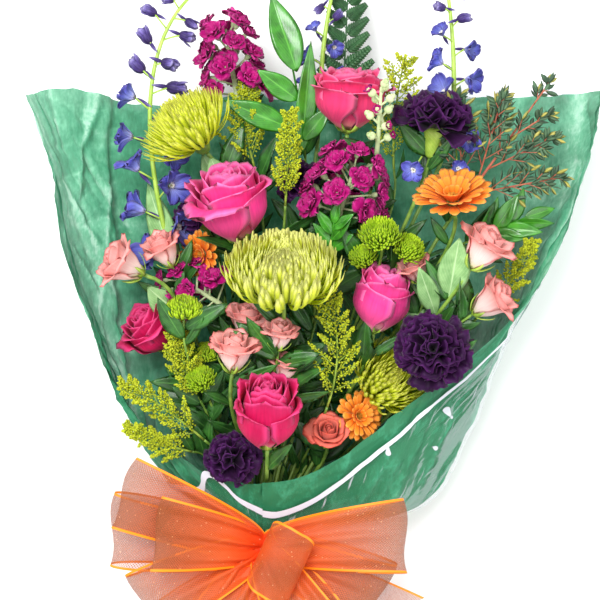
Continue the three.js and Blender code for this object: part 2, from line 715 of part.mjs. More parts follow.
// A stock that is still in bud.
function budding({ along }, size) {
  return Array.from({ length: 9 }, (_, k) => {
    const spot = along(0.25 + 0.083 * k);
    const turn = 2.4 * k;
    return (n) => {
      const way = spot.side.clone().multiplyScalar(cos(turn)).add(vec(0, 0, sin(turn)));
      way.addScaledVector(spot.heading, 0.8 + 0.3 * n).normalize();
      const at = spot.at.clone().addScaledVector(way, size * 0.55);
      return put(spindle(size * 0.32, size * 0.6), pose(at, way));
    };
  });
}

// Ruscus: pointed leaves to both sides and one at the tip.
function ruscus({ along }, size) {
  return Array.from({ length: 7 }, (_, k) => {
    const spot = along(min(0.99, 0.2 + 0.133 * k));
    const hand = k === 6 ? 0.1 : k % 2 ? 1 : -1;
    return (n) => {
      const way = wayOut(spot, hand * 0.75, 0.1, n);
      return leaf(spot.at, way, sideways(way), size * (1 - 0.07 * n), size * 0.42, 0.12);
    };
  });
}

// Fern: narrow leaflets to both sides, shorter towards the tip.
function fern({ along }, size) {
  return Array.from({ length: 16 }, (_, k) => {
    const u = 0.2 + 0.76 * (k / 16);
    const [spot, hand] = [along(u), k % 2 ? 1 : -1];
    const length = size * sqrt(1.06 - u);
    return (n) => {
      const way = wayOut(spot, hand * 1.05, 0, n);
      return leaf(spot.at, way, sideways(way), length, 12, 0.1, 2);
    };
  });
}

const TWIGS = [
  // share of the stalk, turn from it, length
  [0.1, -0.75, 92],
  [0.16, 0.6, 92],
  [0.3, -0.35, 70],
  [0.45, 0.5, 50],
  [0.62, -0.5, 34],
];

// Seeded eucalyptus: thin twigs with narrow leaves to both sides.
function eucalyptus({ along }, size) {
  return TWIGS.flatMap(([u, angle, length]) => {
    const spot = along(u);
    const way = wayOut(spot, angle, 0.05, 0);
    const end = spot.at.clone().addScaledVector(way, length);
    const twig = line(spot.at, spot.at.clone().lerp(end, 0.5).add(vec(0, 0, 5)), end);
    const leaves = Array.from({ length: 5 }, (_, k) => {
      const at = twig.getPointAt(0.3 + 0.17 * k);
      const heading = twig.getTangentAt(0.5);
      const leafSpot = { at, heading, side: sideways(heading) };
      return (n) => {
        const out = wayOut(leafSpot, (k % 2 ? 1 : -1) * 0.9, 0.1, n);
        return leaf(at, out, sideways(out), size, size * 0.42, 0, 2);
      };
    });
    return [() => rod(twig, 2, 3, (t) => 1 - 0.35 * t), ...leaves];
  });
}

const SPRAY_KINDS = {
  // colour, builder, stalk radius
  goldenrod: ["#c9b81e", goldenrod, 1.2],
  delphinium: ["#5550cc", delphinium, 2.1],
  stock: ["#b3128a", stock, 1.6],
  budding: ["#c7cf9a", budding, 1.6],
  ruscus: ["#2e7a1e", ruscus, 1.2],
  fern: ["#2f5a34", fern, 1.1],
  eucalyptus: ["#3f5a45", eucalyptus, 1.3],
};

const sprays = SPRAYS.map(([name, kind, base, tip, bow, size]) => {
  const stalk = stalkOf(vec(...base), vec(...tip), vec(...bow));
  const heading = stalk.curve.getTangentAt(0);
  const radius = SPRAY_KINDS[kind][2];
  const foot = stalk.curve.getPointAt(0).addScaledVector(heading, -GAP);
  feet.push(footOf(name, foot, heading, radius));
  return { name, kind, stalk, size, radius };
});

// ---- The stems, gathered through the tie --------------------------------------------------------

// Places for stems in the bunch, packed like honeycomb, left ones first and low ones first.
function bunchSlots(count) {
  const slots = [];
  const reach = Math.ceil(BUNCH_RADIUS / STEM_SPACING) + 1;
  for (let i = -reach; i <= reach; i++) {
    for (let j = -reach; j <= reach; j++) {
      slots.push([STEM_SPACING * (i + 0.5 * abs(j % 2)), STEM_SPACING * 0.866 * j]);
    }
  }
  slots.sort((a, b) => hypot(...a) - hypot(...b));
  return slots.slice(0, count);
}

// The stems by heading, so that they fan out and cross little.
const mains = feet.filter((foot) => !foot.from);
mains.sort((a, b) => (a.at.x - TIE.x) / (a.at.y - TIE.y) - (b.at.x - TIE.x) / (b.at.y - TIE.y));
const slots = bunchSlots(mains.length).sort((a, b) => a[0] - b[0]);
const COLUMN = 6;
for (let i = 0; i < mains.length; i += COLUMN) {
  const low = slots.slice(i, i + COLUMN).sort((a, b) => a[1] - b[1]);
  const few = mains.slice(i, i + COLUMN).sort((a, b) => a.at.z - b.at.z);
  few.forEach((foot, k) => (foot.slot = low[k]));
}

// How a stem may pass, the least change first: how far its knee is drawn aside and up, how far
// below its flower it comes in line with it, and how far along its way the knee is.
const DETOURS = [0.55, 0.85].flatMap((share) =>
  [26, 14, 40].flatMap((straight) =>
    [0, -12, 12, -24, 24, -40, 40].flatMap((sway) =>
      [0, -12, 12, -24, 24, 36].map((rise) => [sway, rise, straight, share]))));
const effort = ([sway, rise, straight, share]) => hypot(sway, rise, straight - 26, 70 * (share - 0.55));
DETOURS.sort((a, b) => effort(a) - effort(b));

function stemCurve(foot, detour) {
  const [x, z] = foot.slot;
  const [sway, rise, straight, share] = detour;
  const end = vec(TIE.x + 1.2 * x, TIE.y - CUT_END + 9 * sin(5 * x + 3 * z), TIE.z + 1.2 * z);
  const tie = vec(TIE.x + x, TIE.y - NECK_HALF, TIE.z + z);
  const out = vec(TIE.x + x * 1.02, TIE.y + NECK_HALF + 5, TIE.z + z * 1.02);
  const near = foot.at.clone().addScaledVector(foot.up, -straight);
  near.z = max(14, near.z);
  const middle = out.clone().lerp(near, share);
  middle.x += sway;
  middle.z = max(12, min(middle.z, 46) + rise);
  return new THREE.CatmullRomCurve3([end, tie, out, middle, near, foot.at], false, "centripetal");
}

// Broad leaves on the flowers' own stems: the flower, about where on its stem, the tip, the width.
const LEAVES = [
  ["spray_rose_1", [-143, -23, 84], [-145, 12, 98], 30],
  ["spray_rose_7", [124, 6, 120], [146, 55, 152], 30],
  ["spray_rose_8", [130, -14, 96], [160, 10, 120], 20],
  ["spray_rose_7", [114, -6, 104], [110, 28, 150], 20],
  ["spider_mum_1", [-72, 104, 76], [-94, 140, 84], 22],
  ["spray_rose_2", [-124, 20, 80], [-150, 116, 60], 26],
];

const routes = {};
const bundle = [];
for (const foot of mains) {
  const [stem] = firstClear(DETOURS.length, (n) => {
    routes[foot.name] = stemCurve(foot, DETOURS[n]);
    return rod(routes[foot.name], 6, 3, () => foot.radius);
  });
  bundle.push(stem);
}
for (const foot of feet.filter((f) => f.from)) {
  const fork = routes[foot.from].getPointAt(0.72);
  const [stem] = firstClear(DETOURS.length, (n) => {
    const [sway, rise, straight] = DETOURS[n];
    const near = foot.at.clone().addScaledVector(foot.up, -straight / 2);
    const middle = fork.clone().lerp(near, 0.5).add(vec(sway / 2, 0, rise / 2));
    routes[foot.name] = line(fork, middle, near, foot.at);
    return rod(routes[foot.name], 3, 3, () => foot.radius);
  });
  bundle.push(stem);
}
for (const [flower, root, tip, width] of LEAVES) {
  const hint = vec(...root);
  const route = routes[flower].getSpacedPoints(40);
  const from = route.reduce((a, b) => (a.distanceTo(hint) < b.distanceTo(hint) ? a : b));
  const way = vec(...tip).sub(from);
  const length = way.length();
  const across = sideways(way);
  const kept = firstClear(10, (n) => {
    const lift = [0, 0.2, -0.2, 0.4, -0.4][n % 5];
    const share = n < 5 ? 1 : 0.75;
    const lifted = way.clone().normalize().add(vec(0, 0, lift)).normalize();
    return leaf(from, lifted, across, length * share, width * share, 0.05);
  });
  bundle.push(...kept);
}
const heart = lathe([[0, -7], [BUNCH_RADIUS, -7], [BUNCH_RADIUS, 7], [0, 7]], 12);
bundle.push(put(heart, new THREE.Matrix4().setPosition(TIE)));
add("stem_bundle", "#7f9a3a", 0.65, joined(bundle));

for (const { name, kind, stalk, size, radius } of sprays) {
  const [colour, build] = SPRAY_KINDS[kind];
  const stem = rod(stalk.curve, 4, 3, (t) => radius * (1 - 0.5 * t));
  const kept = build(stalk, size).flatMap((part) => firstClear(5, part));
  add(name, colour, 0.7, joined([stem, ...kept]));
}

export default bouquet;
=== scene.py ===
import bpy
import numpy as np
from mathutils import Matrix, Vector


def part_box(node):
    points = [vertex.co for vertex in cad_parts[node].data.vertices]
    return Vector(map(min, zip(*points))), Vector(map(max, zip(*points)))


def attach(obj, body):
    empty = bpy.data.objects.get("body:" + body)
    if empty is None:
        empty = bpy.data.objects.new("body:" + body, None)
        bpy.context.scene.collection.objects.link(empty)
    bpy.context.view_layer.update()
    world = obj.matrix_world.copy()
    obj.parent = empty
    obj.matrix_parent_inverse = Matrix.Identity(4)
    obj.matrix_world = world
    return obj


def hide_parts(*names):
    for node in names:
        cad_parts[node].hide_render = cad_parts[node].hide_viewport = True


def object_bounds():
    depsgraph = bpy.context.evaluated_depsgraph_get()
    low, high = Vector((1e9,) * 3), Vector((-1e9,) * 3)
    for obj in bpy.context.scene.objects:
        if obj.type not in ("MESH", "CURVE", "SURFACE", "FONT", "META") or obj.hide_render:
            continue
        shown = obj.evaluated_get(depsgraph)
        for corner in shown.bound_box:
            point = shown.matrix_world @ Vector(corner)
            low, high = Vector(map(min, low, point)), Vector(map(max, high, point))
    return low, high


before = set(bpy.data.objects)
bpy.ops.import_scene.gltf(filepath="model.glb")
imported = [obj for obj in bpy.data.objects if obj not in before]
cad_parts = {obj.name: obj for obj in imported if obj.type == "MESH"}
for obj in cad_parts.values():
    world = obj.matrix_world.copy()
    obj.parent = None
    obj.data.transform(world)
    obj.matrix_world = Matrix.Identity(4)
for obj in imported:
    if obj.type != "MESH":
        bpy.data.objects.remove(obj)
cad_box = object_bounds()

# ---- Floor, light and camera --------------------------------------------------------------------
# The bouquet lies on its back on a plain pale floor, under soft studio light, and the camera looks
# straight down on it.

FLOOR_HALF = 4
FLOOR_HEIGHT = cad_box[0].z - 0.0005
LIT_MIDDLE = Vector((0, 0, 0.08))


def new_object(name, data):
    """An object of this name, put in the scene."""
    made = bpy.data.objects.new(name, data)
    bpy.context.scene.collection.objects.link(made)
    return made


floor_mesh = bpy.data.meshes.new("floor")
square = [(x * FLOOR_HALF, y * FLOOR_HALF, FLOOR_HEIGHT) for x, y in ((-1, -1), (1, -1), (1, 1), (-1, 1))]
floor_mesh.from_pydata(square, [], [(0, 1, 2, 3)])
floor_finish = bpy.data.materials.new("pale_floor")
floor_finish.use_nodes = True
floor_inputs = floor_finish.node_tree.nodes["Principled BSDF"].inputs
floor_inputs["Base Color"].default_value = (0.98, 0.98, 0.98, 1)
floor_inputs["Roughness"].default_value = 0.9
floor_mesh.materials.append(floor_finish)
floor = new_object("floor", floor_mesh)

world = bpy.data.worlds.new("studio")
world.use_nodes = True
sky_inputs = world.node_tree.nodes["Background"].inputs
sky_inputs["Color"].default_value = (1.0, 1.0, 1.0, 1)
sky_inputs["Strength"].default_value = 0.92
bpy.context.scene.world = world


def softbox(name, at, size, watts):
    """A square area light at `at`, turned to face the middle of the bouquet."""
    light = bpy.data.lights.new(name, "AREA")
    light.size = size
    light.energy = watts
    lamp = new_object(name, light)
    lamp.location = at
    lamp.rotation_euler = (LIT_MIDDLE - Vector(at)).to_track_quat("-Z", "Y").to_euler()


softbox("key_light", (-0.55, 0.6, 1.85), 0.9, 42)
softbox("fill_light", (1.2, -0.5, 1.5), 1.4, 12)

lens = bpy.data.cameras.new("camera")
lens.sensor_width = 36
lens.lens = 88.4
camera = new_object("camera", lens)
camera.location = (0, 0, 1.5)
bpy.context.scene.camera = camera
bpy.context.scene.view_settings.view_transform = "Standard"

# ---- Tissue wrap --------------------------------------------------------------------------------
# Green tissue paper, gathered at the tie, open and crumpled above it. It is full at the back and
# sides and turned down low at the front. All shapes are worked out in millimetres.

MM = 0.001
UP = np.array([0, 0, 1.0])
pi, sin, cos = np.pi, np.sin, np.cos


def mix(a, b, share):
    """a at share 0, b at share 1, in a straight line between."""
    return a + (b - a) * share


def step(t, start, end):
    """0 before start, 1 after end, and a smooth cubic between."""
    s = np.clip((t - start) / (end - start), 0, 1)
    return s * s * (3 - 2 * s)


def bell(x, width):
    """A bell curve: 1 at zero, and down by the exponential of the square of x over its width."""
    return np.exp(-((x / width) ** 2))


def unit(v):
    """Vectors cut to length 1."""
    return v / np.maximum(np.linalg.norm(v, axis=-1, keepdims=True), 1e-9)


def corner_value(i, j, seed):
    """A fixed value from -1 to 1 at each whole-number corner: the fraction of a large sine."""
    wave = sin(i * 127.1 + j * 311.7 + seed * 74.7) * 43758.5453
    return 2 * (wave - np.floor(wave)) - 1


def rough(x, y, seed):
    """Smooth noise: the values at the four corners round a point, blended by its place among them."""
    i, j = np.floor(x), np.floor(y)
    a, b = step(x - i, 0, 1), step(y - j, 0, 1)
    low = mix(corner_value(i, j, seed), corner_value(i + 1, j, seed), a)
    high = mix(corner_value(i, j + 1, seed), corner_value(i + 1, j + 1, seed), a)
    return mix(low, high, b)


def grid_faces(rows, cols):
    """Quads of a grid of corners, numbered row by row: across, then along."""
    i, j = np.meshgrid(np.arange(rows - 1), np.arange(cols - 1), indexing="ij")
    a = (i * cols + j).ravel()
    return np.stack([a, a + 1, a + cols + 1, a + cols], 1)


def grid_places(rows, cols):
    """How far along and across each corner of a grid lies, from 0 to 1."""
    along, across = np.meshgrid(np.linspace(0, 1, rows), np.linspace(0, 1, cols), indexing="ij")
    return np.stack([along.ravel(), across.ravel()], 1)


class Form:
    """The surfaces of one piece. Each corner has a place along and across its own petal, leaf or
    sheet, from 0 to 1, and a shade of its own. A face with -1 as its last corner is a triangle."""

    def __init__(self):
        self.corners, self.faces, self.places, self.shades, self.finishes = [], [], [], [], []
        self.count = 0

    def add(self, corners, faces, places, shade, finish=0):
        """corners (n, m, 3) are n copies of one shape with m corners, and faces are the shape's."""
        n, m = corners.shape[:2]
        first = self.count + np.arange(n)[:, None, None] * m
        shade = np.asarray(shade, float)
        shade = shade if shade.ndim == 2 else shade.reshape(-1, 1)
        self.corners.append(corners.reshape(-1, 3))
        self.faces.append(np.where(faces[None] < 0, -1, faces[None] + first).reshape(-1, 4))
        self.places.append(np.broadcast_to(places, (n, m, 2)).reshape(-1, 2))
        self.shades.append(np.broadcast_to(shade, (n, m)).ravel())
        self.finishes.append(np.full(n * len(faces), finish))
        self.count += n * m

    def sheet(self, points, shade):
        """One open sheet on a grid of points (rows, cols, 3)."""
        grid = points.shape[:2]
        self.add(points.reshape(1, -1, 3), grid_faces(*grid), grid_places(*grid), shade.reshape(1, -1))

    def piece(self, name, finishes, node):
        """One object of all the surfaces, which rides on the bouquet and stands for that node."""
        corners, faces = np.concatenate(self.corners) * MM, np.concatenate(self.faces)
        loops, sizes = faces[faces >= 0], (faces >= 0).sum(1)
        mesh = bpy.data.meshes.new(name)
        mesh.vertices.add(len(corners))
        mesh.loops.add(len(loops))
        mesh.polygons.add(len(faces))
        mesh.vertices.foreach_set("co", corners.astype(np.float32).ravel())
        mesh.loops.foreach_set("vertex_index", loops.astype(np.int32))
        mesh.polygons.foreach_set("loop_start", (np.cumsum(sizes) - sizes).astype(np.int32))
        mesh.polygons.foreach_set("material_index", np.concatenate(self.finishes).astype(np.int32))
        mesh.polygons.foreach_set("use_smooth", np.ones(len(faces), bool))
        places = np.concatenate(self.places)[loops].astype(np.float32)
        mesh.uv_layers.new(name="place").uv.foreach_set("vector", places.ravel())
        shades = np.concatenate(self.shades).astype(np.float32)
        mesh.attributes.new("shade", "FLOAT", "POINT").data.foreach_set("value", shades)
        mesh.update(calc_edges=True)
        for finish in finishes:
            mesh.materials.append(finish)
        made = new_object(name, mesh)
        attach(made, "root")
        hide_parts(node)
        return made


def tint(code):
    """A screen colour such as "5fae87" as the linear colour that shaders take."""
    c = np.array([int(code[k : k + 2], 16) for k in (0, 2, 4)]) / 255
    c = np.where(c <= 0.04045, c / 12.92, ((c + 0.055) / 1.055) ** 2.4)
    return (*c.tolist(), 1.0)


class Finish:
    """A material in the making. Each method adds a shader node and gives back its output. An input
    is a number, a colour or another node's output."""

    def __init__(self, name):
        self.material = bpy.data.materials.new(name)
        self.material.use_nodes = True
        self.tree = self.material.node_tree
        self.tree.nodes.clear()

    def node(self, kind, inputs=(), output=0, **settings):
        """A node of any kind."""
        made = self.tree.nodes.new("ShaderNode" + kind)
        for key, value in settings.items():
            setattr(made, key, value)
        for key, value in dict(inputs).items():
            if isinstance(value, bpy.types.NodeSocket):
                self.tree.links.new(value, made.inputs[key])
            else:
                made.inputs[key].default_value = value
        return made.outputs[output] if made.outputs else None

    def where(self):
        """Where a point is on the bouquet."""
        return self.node("TexCoord", output="Object")

    def place(self):
        """How far along and across its own petal, leaf or sheet a point is, from 0 to 1."""
        both = self.node("SeparateXYZ", {0: self.node("UVMap", uv_map="place")}).node.outputs
        return both[0], both[1]

    def shade(self):
        """The shade that each corner was given."""
        return self.node("Attribute", output="Fac", attribute_name="shade")

    def math(self, operation, *values, **settings):
        """A sum, a product or another operation on one or two values."""
        return self.node("Math", enumerate(values), operation=operation, **settings)

    def aside(self, across):
        """How far a point is from the midline of its own petal, leaf or sheet."""
        return self.math("ABSOLUTE", self.math("SUBTRACT", across, 0.5))

    def scaled(self, value, *limits):
        """The value, clipped and carried in a straight line from the first two limits to the last."""
        return self.node("MapRange", enumerate((value, *limits)))

    def stretched(self, *pairs):
        """A place made of values that are each multiplied by a number, for drawn-out noise."""
        return self.node("CombineXYZ", enumerate(self.math("MULTIPLY", *pair) for pair in pairs))

    def noise(self, where, scale, detail, roughness=0.5):
        """Cloudy noise from 0 to 1."""
        inputs = {"Vector": where, "Scale": scale, "Detail": detail, "Roughness": roughness}
        return self.node("TexNoise", inputs)

    def bump(self, height, strength, distance):
        """The surface's direction, tilted as if it stood out by the height."""
        return self.node("Bump", {"Height": height, "Strength": strength, "Distance": distance})

    def blend(self, share, colour, code):
        """The colour mixed with the colour of that code, by share."""
        return self.node("Mix", {0: share, 6: colour, 7: tint(code)}, 2, data_type="RGBA")

    def ramp(self, share, stops):
        """A colour that runs through the stops {position: code} as share goes from 0 to 1."""
        made = self.node("ValToRGB", {"Fac": share}, "Color")
        band = made.node.color_ramp.elements
        while len(band) < len(stops):
            band.new(0.5)
        for element, (position, code) in zip(band, stops.items()):
            element.position = position
            element.color = tint(code)
        return made

    def done(self, inputs, glow=0):
        """The material, with these inputs. `glow` is the share of light that it lets through."""
        surface = self.node("BsdfPrincipled", inputs)
        if glow:
            thin = {"Color": inputs["Base Color"], "Normal": inputs["Normal"]}
            surface = self.node("MixShader", {0: glow, 1: surface, 2: self.node("BsdfTranslucent", thin)})
        self.node("OutputMaterial", {"Surface": surface})
        return self.material


def middle_of(node):
    """The middle of a node's box, in millimetres."""
    low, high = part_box(node)
    return np.array((low + high) / 2) / MM


tie = middle_of("binding")
NECK_RADIUS = 20
NECK_HALF = 9
WRAP_TAIL = 75
WRAP_LENGTH = 440
FRONT_LENGTH = 62
FILM_GAP = 5.6


def half_width(t, right):
    """Half the wrap's width, t above the tie: the neck's radius, then a quick swell that levels off,
    more on the right than on the left."""
    swell, reach, slope = np.where(right, 134, 84), np.where(right, 11, 45), np.where(right, 0.42, 0.28)
    past = np.maximum(0, t - NECK_HALF)
    above = NECK_RADIUS + swell * (1 - np.exp(-past / reach)) + slope * past
    below = NECK_RADIUS + 18 * np.clip(-t / WRAP_TAIL, 0, 1) ** 1.4
    return np.where(t < 0, below, above)


def sheet_point(t, turn, out):
    """A point of the wrap, t above the tie and turned from 0 under the back to half a turn at the
    front. It goes round a flattened ring whose sides stand up and flare where the wrap is open.
    Pleats and slow waves follow the turn, and `out` moves it outwards."""
    right = turn > 0
    openness = step(t, np.where(right, 120, 60), np.where(right, 270, 180))
    round_side = np.abs(sin(turn))
    flare = 1 + 0.06 * (np.abs(turn) - pi / 2) / (pi / 2)
    side = np.where(np.abs(turn) > pi / 2, mix(round_side, flare, openness), round_side)
    flat = 0.06 * step(t, NECK_HALF, 100)
    rise = np.maximum(0, ((1 - cos(turn)) / 2 - flat) / (1 - flat))
    tail = 19 * np.clip(-t / WRAP_TAIL, 0, 1) ** 1.4
    neck_floor = tie[2] - NECK_RADIUS
    past = np.maximum(0, t - NECK_HALF)
    ramped = mix(FILM_GAP, neck_floor, np.maximum(0, 1 - past / 110) ** 2)
    low = np.where(t < 0, neck_floor - tail, ramped)
    high = tie[2] + NECK_RADIUS + np.where(t < 0, tail / 8, 140 * (1 - np.exp(-past / 230)))
    pleat = np.where(t < 60, 1, np.exp((60 - t) / 90)) * step(np.abs(t), 6, 30) * 2 * sin(9 * turn)
    wave = 5 * sin(3.2 * turn + t / 38) * round_side * step(t, 90, 300)
    width = side * (half_width(t, right) + out + pleat + wave) * np.where(right, 1, -1)
    height = mix(low - out, high + out, rise) + pleat * np.maximum(0, rise - 0.2)
    return np.stack([tie[0] + width, tie[1] + t, np.maximum(height, 0.2)], -1)


SIDE_FOLDS = (  # on the rolled left side: how far from the raised line each fold lies, and its drift
    (0.06, 0.9), (0.2, -0.3), (0.3, 1.1), (0.42, 0.75), (0.6, -0.5), (0.66, 0.95))


def creases(t, turn):
    """How far the tissue stands out at its creases, and a share from 0 in the valleys to 1 on the crests
    that is painted light: painted shade in the valleys, painted highlights on the crests. Long folds
    fan out from the tie, finer ones run between them and short ones cross them. Each is a fold of the
    noise about zero, so its crest is sharp. On the left the side is rolled in to a raised line and has
    folds of its own. Each is a bell curve across a line that drifts: a painted highlight along its
    crest, with painted shade in a valley beside it. The rolled side is painted a little lighter, and
    the faces round the front, low on the wrap, are painted darker as shade."""
    fan = turn * 3.0 + 0.6 * rough(turn * 2, t / 90, 3)
    side = step(np.abs(turn), 0.9, 1.6)
    long_folds = 1 - 2.4 * np.abs(rough(fan * 1.6, t / 210, 1))
    fine_folds = 1 - 2.2 * np.abs(rough(fan * 4 + t / 60, t / 70, 2))
    short_folds = 1 - 2.2 * np.abs(rough(turn * 6 + t / 25, t / 24 - turn * 2, 4))
    crumple = 1 - 2.2 * np.abs(rough(turn * 16 - t / 14, t / 11 + turn * 5, 5))
    height = 2.4 * long_folds + 1.5 * fine_folds * (1 + 0.6 * side) + 1.2 * short_folds + 0.7 * crumple
    # The share from here on is painted light: painted highlights on the crests of the folds.
    long_fold_highlight, fine_fold_highlight = np.maximum(long_folds, 0) ** 3, np.maximum(fine_folds, 0) ** 3
    short_fold_highlight, crumple_highlight = np.maximum(short_folds, 0) ** 4, np.maximum(crumple, 0) ** 4
    painted_crease_light = 0.4 * long_fold_highlight + 0.35 * fine_fold_highlight * (0.4 + side) + 0.25 * short_fold_highlight + 0.15 * crumple_highlight
    line = mix(1.3, 0.74, np.clip((t - 90) / 340, 0, 1))
    rolled = step(-turn, line, line + 0.05) * step(t, 60, 130)
    height = height - 8 * rolled * (1 - step(-turn, line + 0.1, 1.5))
    for aside, drift in SIDE_FOLDS:
        across = turn + line + aside + drift * (t - 250) / 200 + 0.02 * sin(t / 17 + 9 * aside)
        broken = rolled * step(rough(t / 45, 0 * turn + 7 * aside, 8), -0.5, 0.5)
        height = height - 2.6 * broken * bell(across, 0.04)
        # A painted highlight along each side fold, and painted shade in a valley just beside it.
        painted_crease_light = painted_crease_light + broken * (0.4 * bell(across, 0.016) - 0.4 * bell(across - 0.04, 0.024))
    # Painted shade on the faces round the front, low on the wrap; the rolled side is painted a little
    # lighter.
    outer = step(np.abs(turn), 1.45, 1.85) * (1 - step(t, 150, 260))
    painted_crease_light = painted_crease_light * (1 - 0.5 * outer) + 0.1 * rolled - 0.3 * outer - 0.06
    return height * step(t, 10, 80), painted_crease_light


def tissue_length(turn):
    """The tissue's length above the tie: full round the back and sides, then down to the short
    front by a power of the turn, slower on the left, with a wavy torn-looking edge."""
    past = np.maximum(0, (pi - np.abs(turn)) / (pi / 2))
    edge = WRAP_LENGTH + np.where(turn < 0, 6, 0) * cos(6 * turn)
    low = mix(FRONT_LENGTH, WRAP_LENGTH, np.minimum(past, 1) ** np.where(turn > 0, 2.0, 3.3))
    return np.where(past >= 1, edge, low) + 1.2 * rough(turn * 14, 0 * turn, 7)


def sheet_grid(rows, cols, edge, out):
    """A sheet on a grid: rows run from the tail to its edge, columns once round the neck."""
    turn = np.linspace(-pi + 1e-4, pi - 1e-4, cols)[None, :]
    t = -WRAP_TAIL + (edge(turn) + WRAP_TAIL) * np.linspace(0, 1, rows)[:, None]
    return sheet_point(t, turn, out(t, turn)), t, turn


def tissue_finish():
    """Thin paper that the floor and the stems show through a little. Its shade carries painted light
    from the creases, painted highlights on their crests and painted shade in their valleys and low round
    the front, and fibres of stretched noise and blotches change its green."""
    paper = Finish("green_tissue")
    where = paper.where()
    fibre = paper.node("Mapping", {"Vector": where, "Scale": (60, 22, 60)})
    both = paper.math("ADD", paper.noise(fibre, 6.0, 6.0, 0.65), paper.noise(where, 20.0, 5.0))
    # The colour follows real fibre tone plus the painted crease light and shade held in the shade attribute.
    pale = paper.math("ADD", paper.scaled(both, 0.72, 1.28, 0.12, 0.56), paper.shade())
    colour = paper.ramp(pale, {0.05: "1d7049", 0.38: "37916a", 0.7: "62b08a", 1: "9ccfb4"})
    bump = paper.bump(both, 0.3, 0.0008)
    return paper.done({"Base Color": colour, "Normal": bump, "Roughness": 0.55, "Alpha": 0.93})


points, t, turn = sheet_grid(190, 270, tissue_length, lambda t, turn: creases(t, turn)[0] - 0.5)
points[..., 2] = np.maximum(points[..., 2], 1.6)
tissue = Form()
# Each corner's shade is the painted crease light and shade from creases().
tissue.sheet(points, creases(t, turn)[1])
tissue_wrap = tissue.piece("tissue_paper", [tissue_finish()], "tissue_wrap")

# ---- Cellophane wrap ----------------------------------------------------------------------------
# Clear stiff film round the tissue, gathered at the same tie, with a plain white band along its
# edge. On the left it ends low, and on the right it stands past the tissue's turned-down front.

FILM_BACK = WRAP_LENGTH + 8
FILM_LOW = 31
FILM_RIGHT = 335
EDGE_BAND = 20


def film_length(turn):
    """The film's length above the tie: past the tissue at the back, a power of the turn down to the
    front on the right, and a low arc with a small peak on the left. `across` counts from the middle
    of the front, positive on the left."""
    past = (pi - np.abs(turn)) / (pi / 2)
    across = -np.sign(turn) * past
    low = FILM_LOW + 27 * step(across, -0.16, 0.45) + 22 * bell(across - 0.3, 0.085)
    climb = low + (FILM_RIGHT - FILM_LOW) * np.clip(past - 0.04, 0, 1) ** 1.45
    right = np.where(past < 1, climb, mix(317, FILM_BACK, step(past, 1, 1.35)))
    left = np.where(past < 1, low, mix(58, FILM_BACK, step(past, 1.25, 1.8)))
    return np.where(turn > 0, right, left) + 1.5 * rough(turn * 5, 0 * turn, 12)


def film_finish():
    """Clear film: see-through but for painted light in white, a painted sheen that grows at grazing
    angles, rare small painted glints and thin painted highlight lines where its folds fan out from the
    tie, and milky white in the band along its edge. Its shade counts in from the edge, and the lines
    are noise stretched along the sheet."""
    film = Finish("clear_film")
    along, across = film.place()
    where = film.where()
    bump = film.bump(film.noise(where, 34.0, 3.0), 0.5, 0.002)
    # Painted light: the film turns white and opaque at grazing angles, in rare glints and along thin lines,
    # as painted sheen and painted highlights.
    painted_edge_sheen = film.node("Fresnel", {"IOR": 1.3, "Normal": bump})
    painted_glint = film.scaled(film.noise(where, 52.0, 1.0), 0.735, 0.75, 0.0, 0.75)
    folds = film.noise(film.stretched((along, 5.0), (across, 170.0)), 1.0, 1.0)
    bright = film.math("MAXIMUM", painted_glint, film.scaled(folds, 0.63, 0.76, 0.0, 0.6))
    painted_shine = film.math("MAXIMUM", film.math("MULTIPLY", painted_edge_sheen, 0.22), bright, use_clamp=True)
    band = film.math("MULTIPLY", film.math("LESS_THAN", film.shade(), 0.34), 0.93)
    solid = film.math("MAXIMUM", painted_shine, band)
    # One colour serves the real white edge band and the painted sheen, glints and lines.
    return film.done({"Base Color": tint("e0e2ec"), "Normal": bump, "Roughness": 0.25, "Alpha": solid})


def film_out(t, turn):
    """How far the film stands off: round the tissue's own creases, with slow waves of its own."""
    return FILM_GAP - 0.5 + 0.6 * creases(t, turn)[0] + 0.5 * rough(turn * 9, t / 30, 9)


points, t, turn = sheet_grid(140, 220, film_length, film_out)
film = Form()
film.sheet(points, np.clip((film_length(turn) - t) / EDGE_BAND, 0, 1))
film_wrap = film.piece("cellophane_film", [film_finish()], "cellophane_wrap")

# ---- Tie and bow --------------------------------------------------------------------------------
# A cord round the neck, and over it a bow of sheer organza ribbon with a shiny wired edge. The
# ribbon is pinched at the knot and stands in loops to both sides, with three loose tails.

rng = np.random.default_rng(11)


def spans(rows, cols):
    """How far along (0 to 1) and across (-1 to 1) the corners of a strip lie, with room in front
    for many strips."""
    return np.linspace(0, 1, rows)[None, :, None], np.linspace(-1, 1, cols)[None, None, :]


def around_axis(out, aside, angle, height):
    """Points at a distance and an angle from an axis, moved aside square to it, at a height."""
    x = out * cos(angle) - aside * sin(angle)
    y = out * sin(angle) + aside * cos(angle)
    return np.stack([x, y, height], -1)


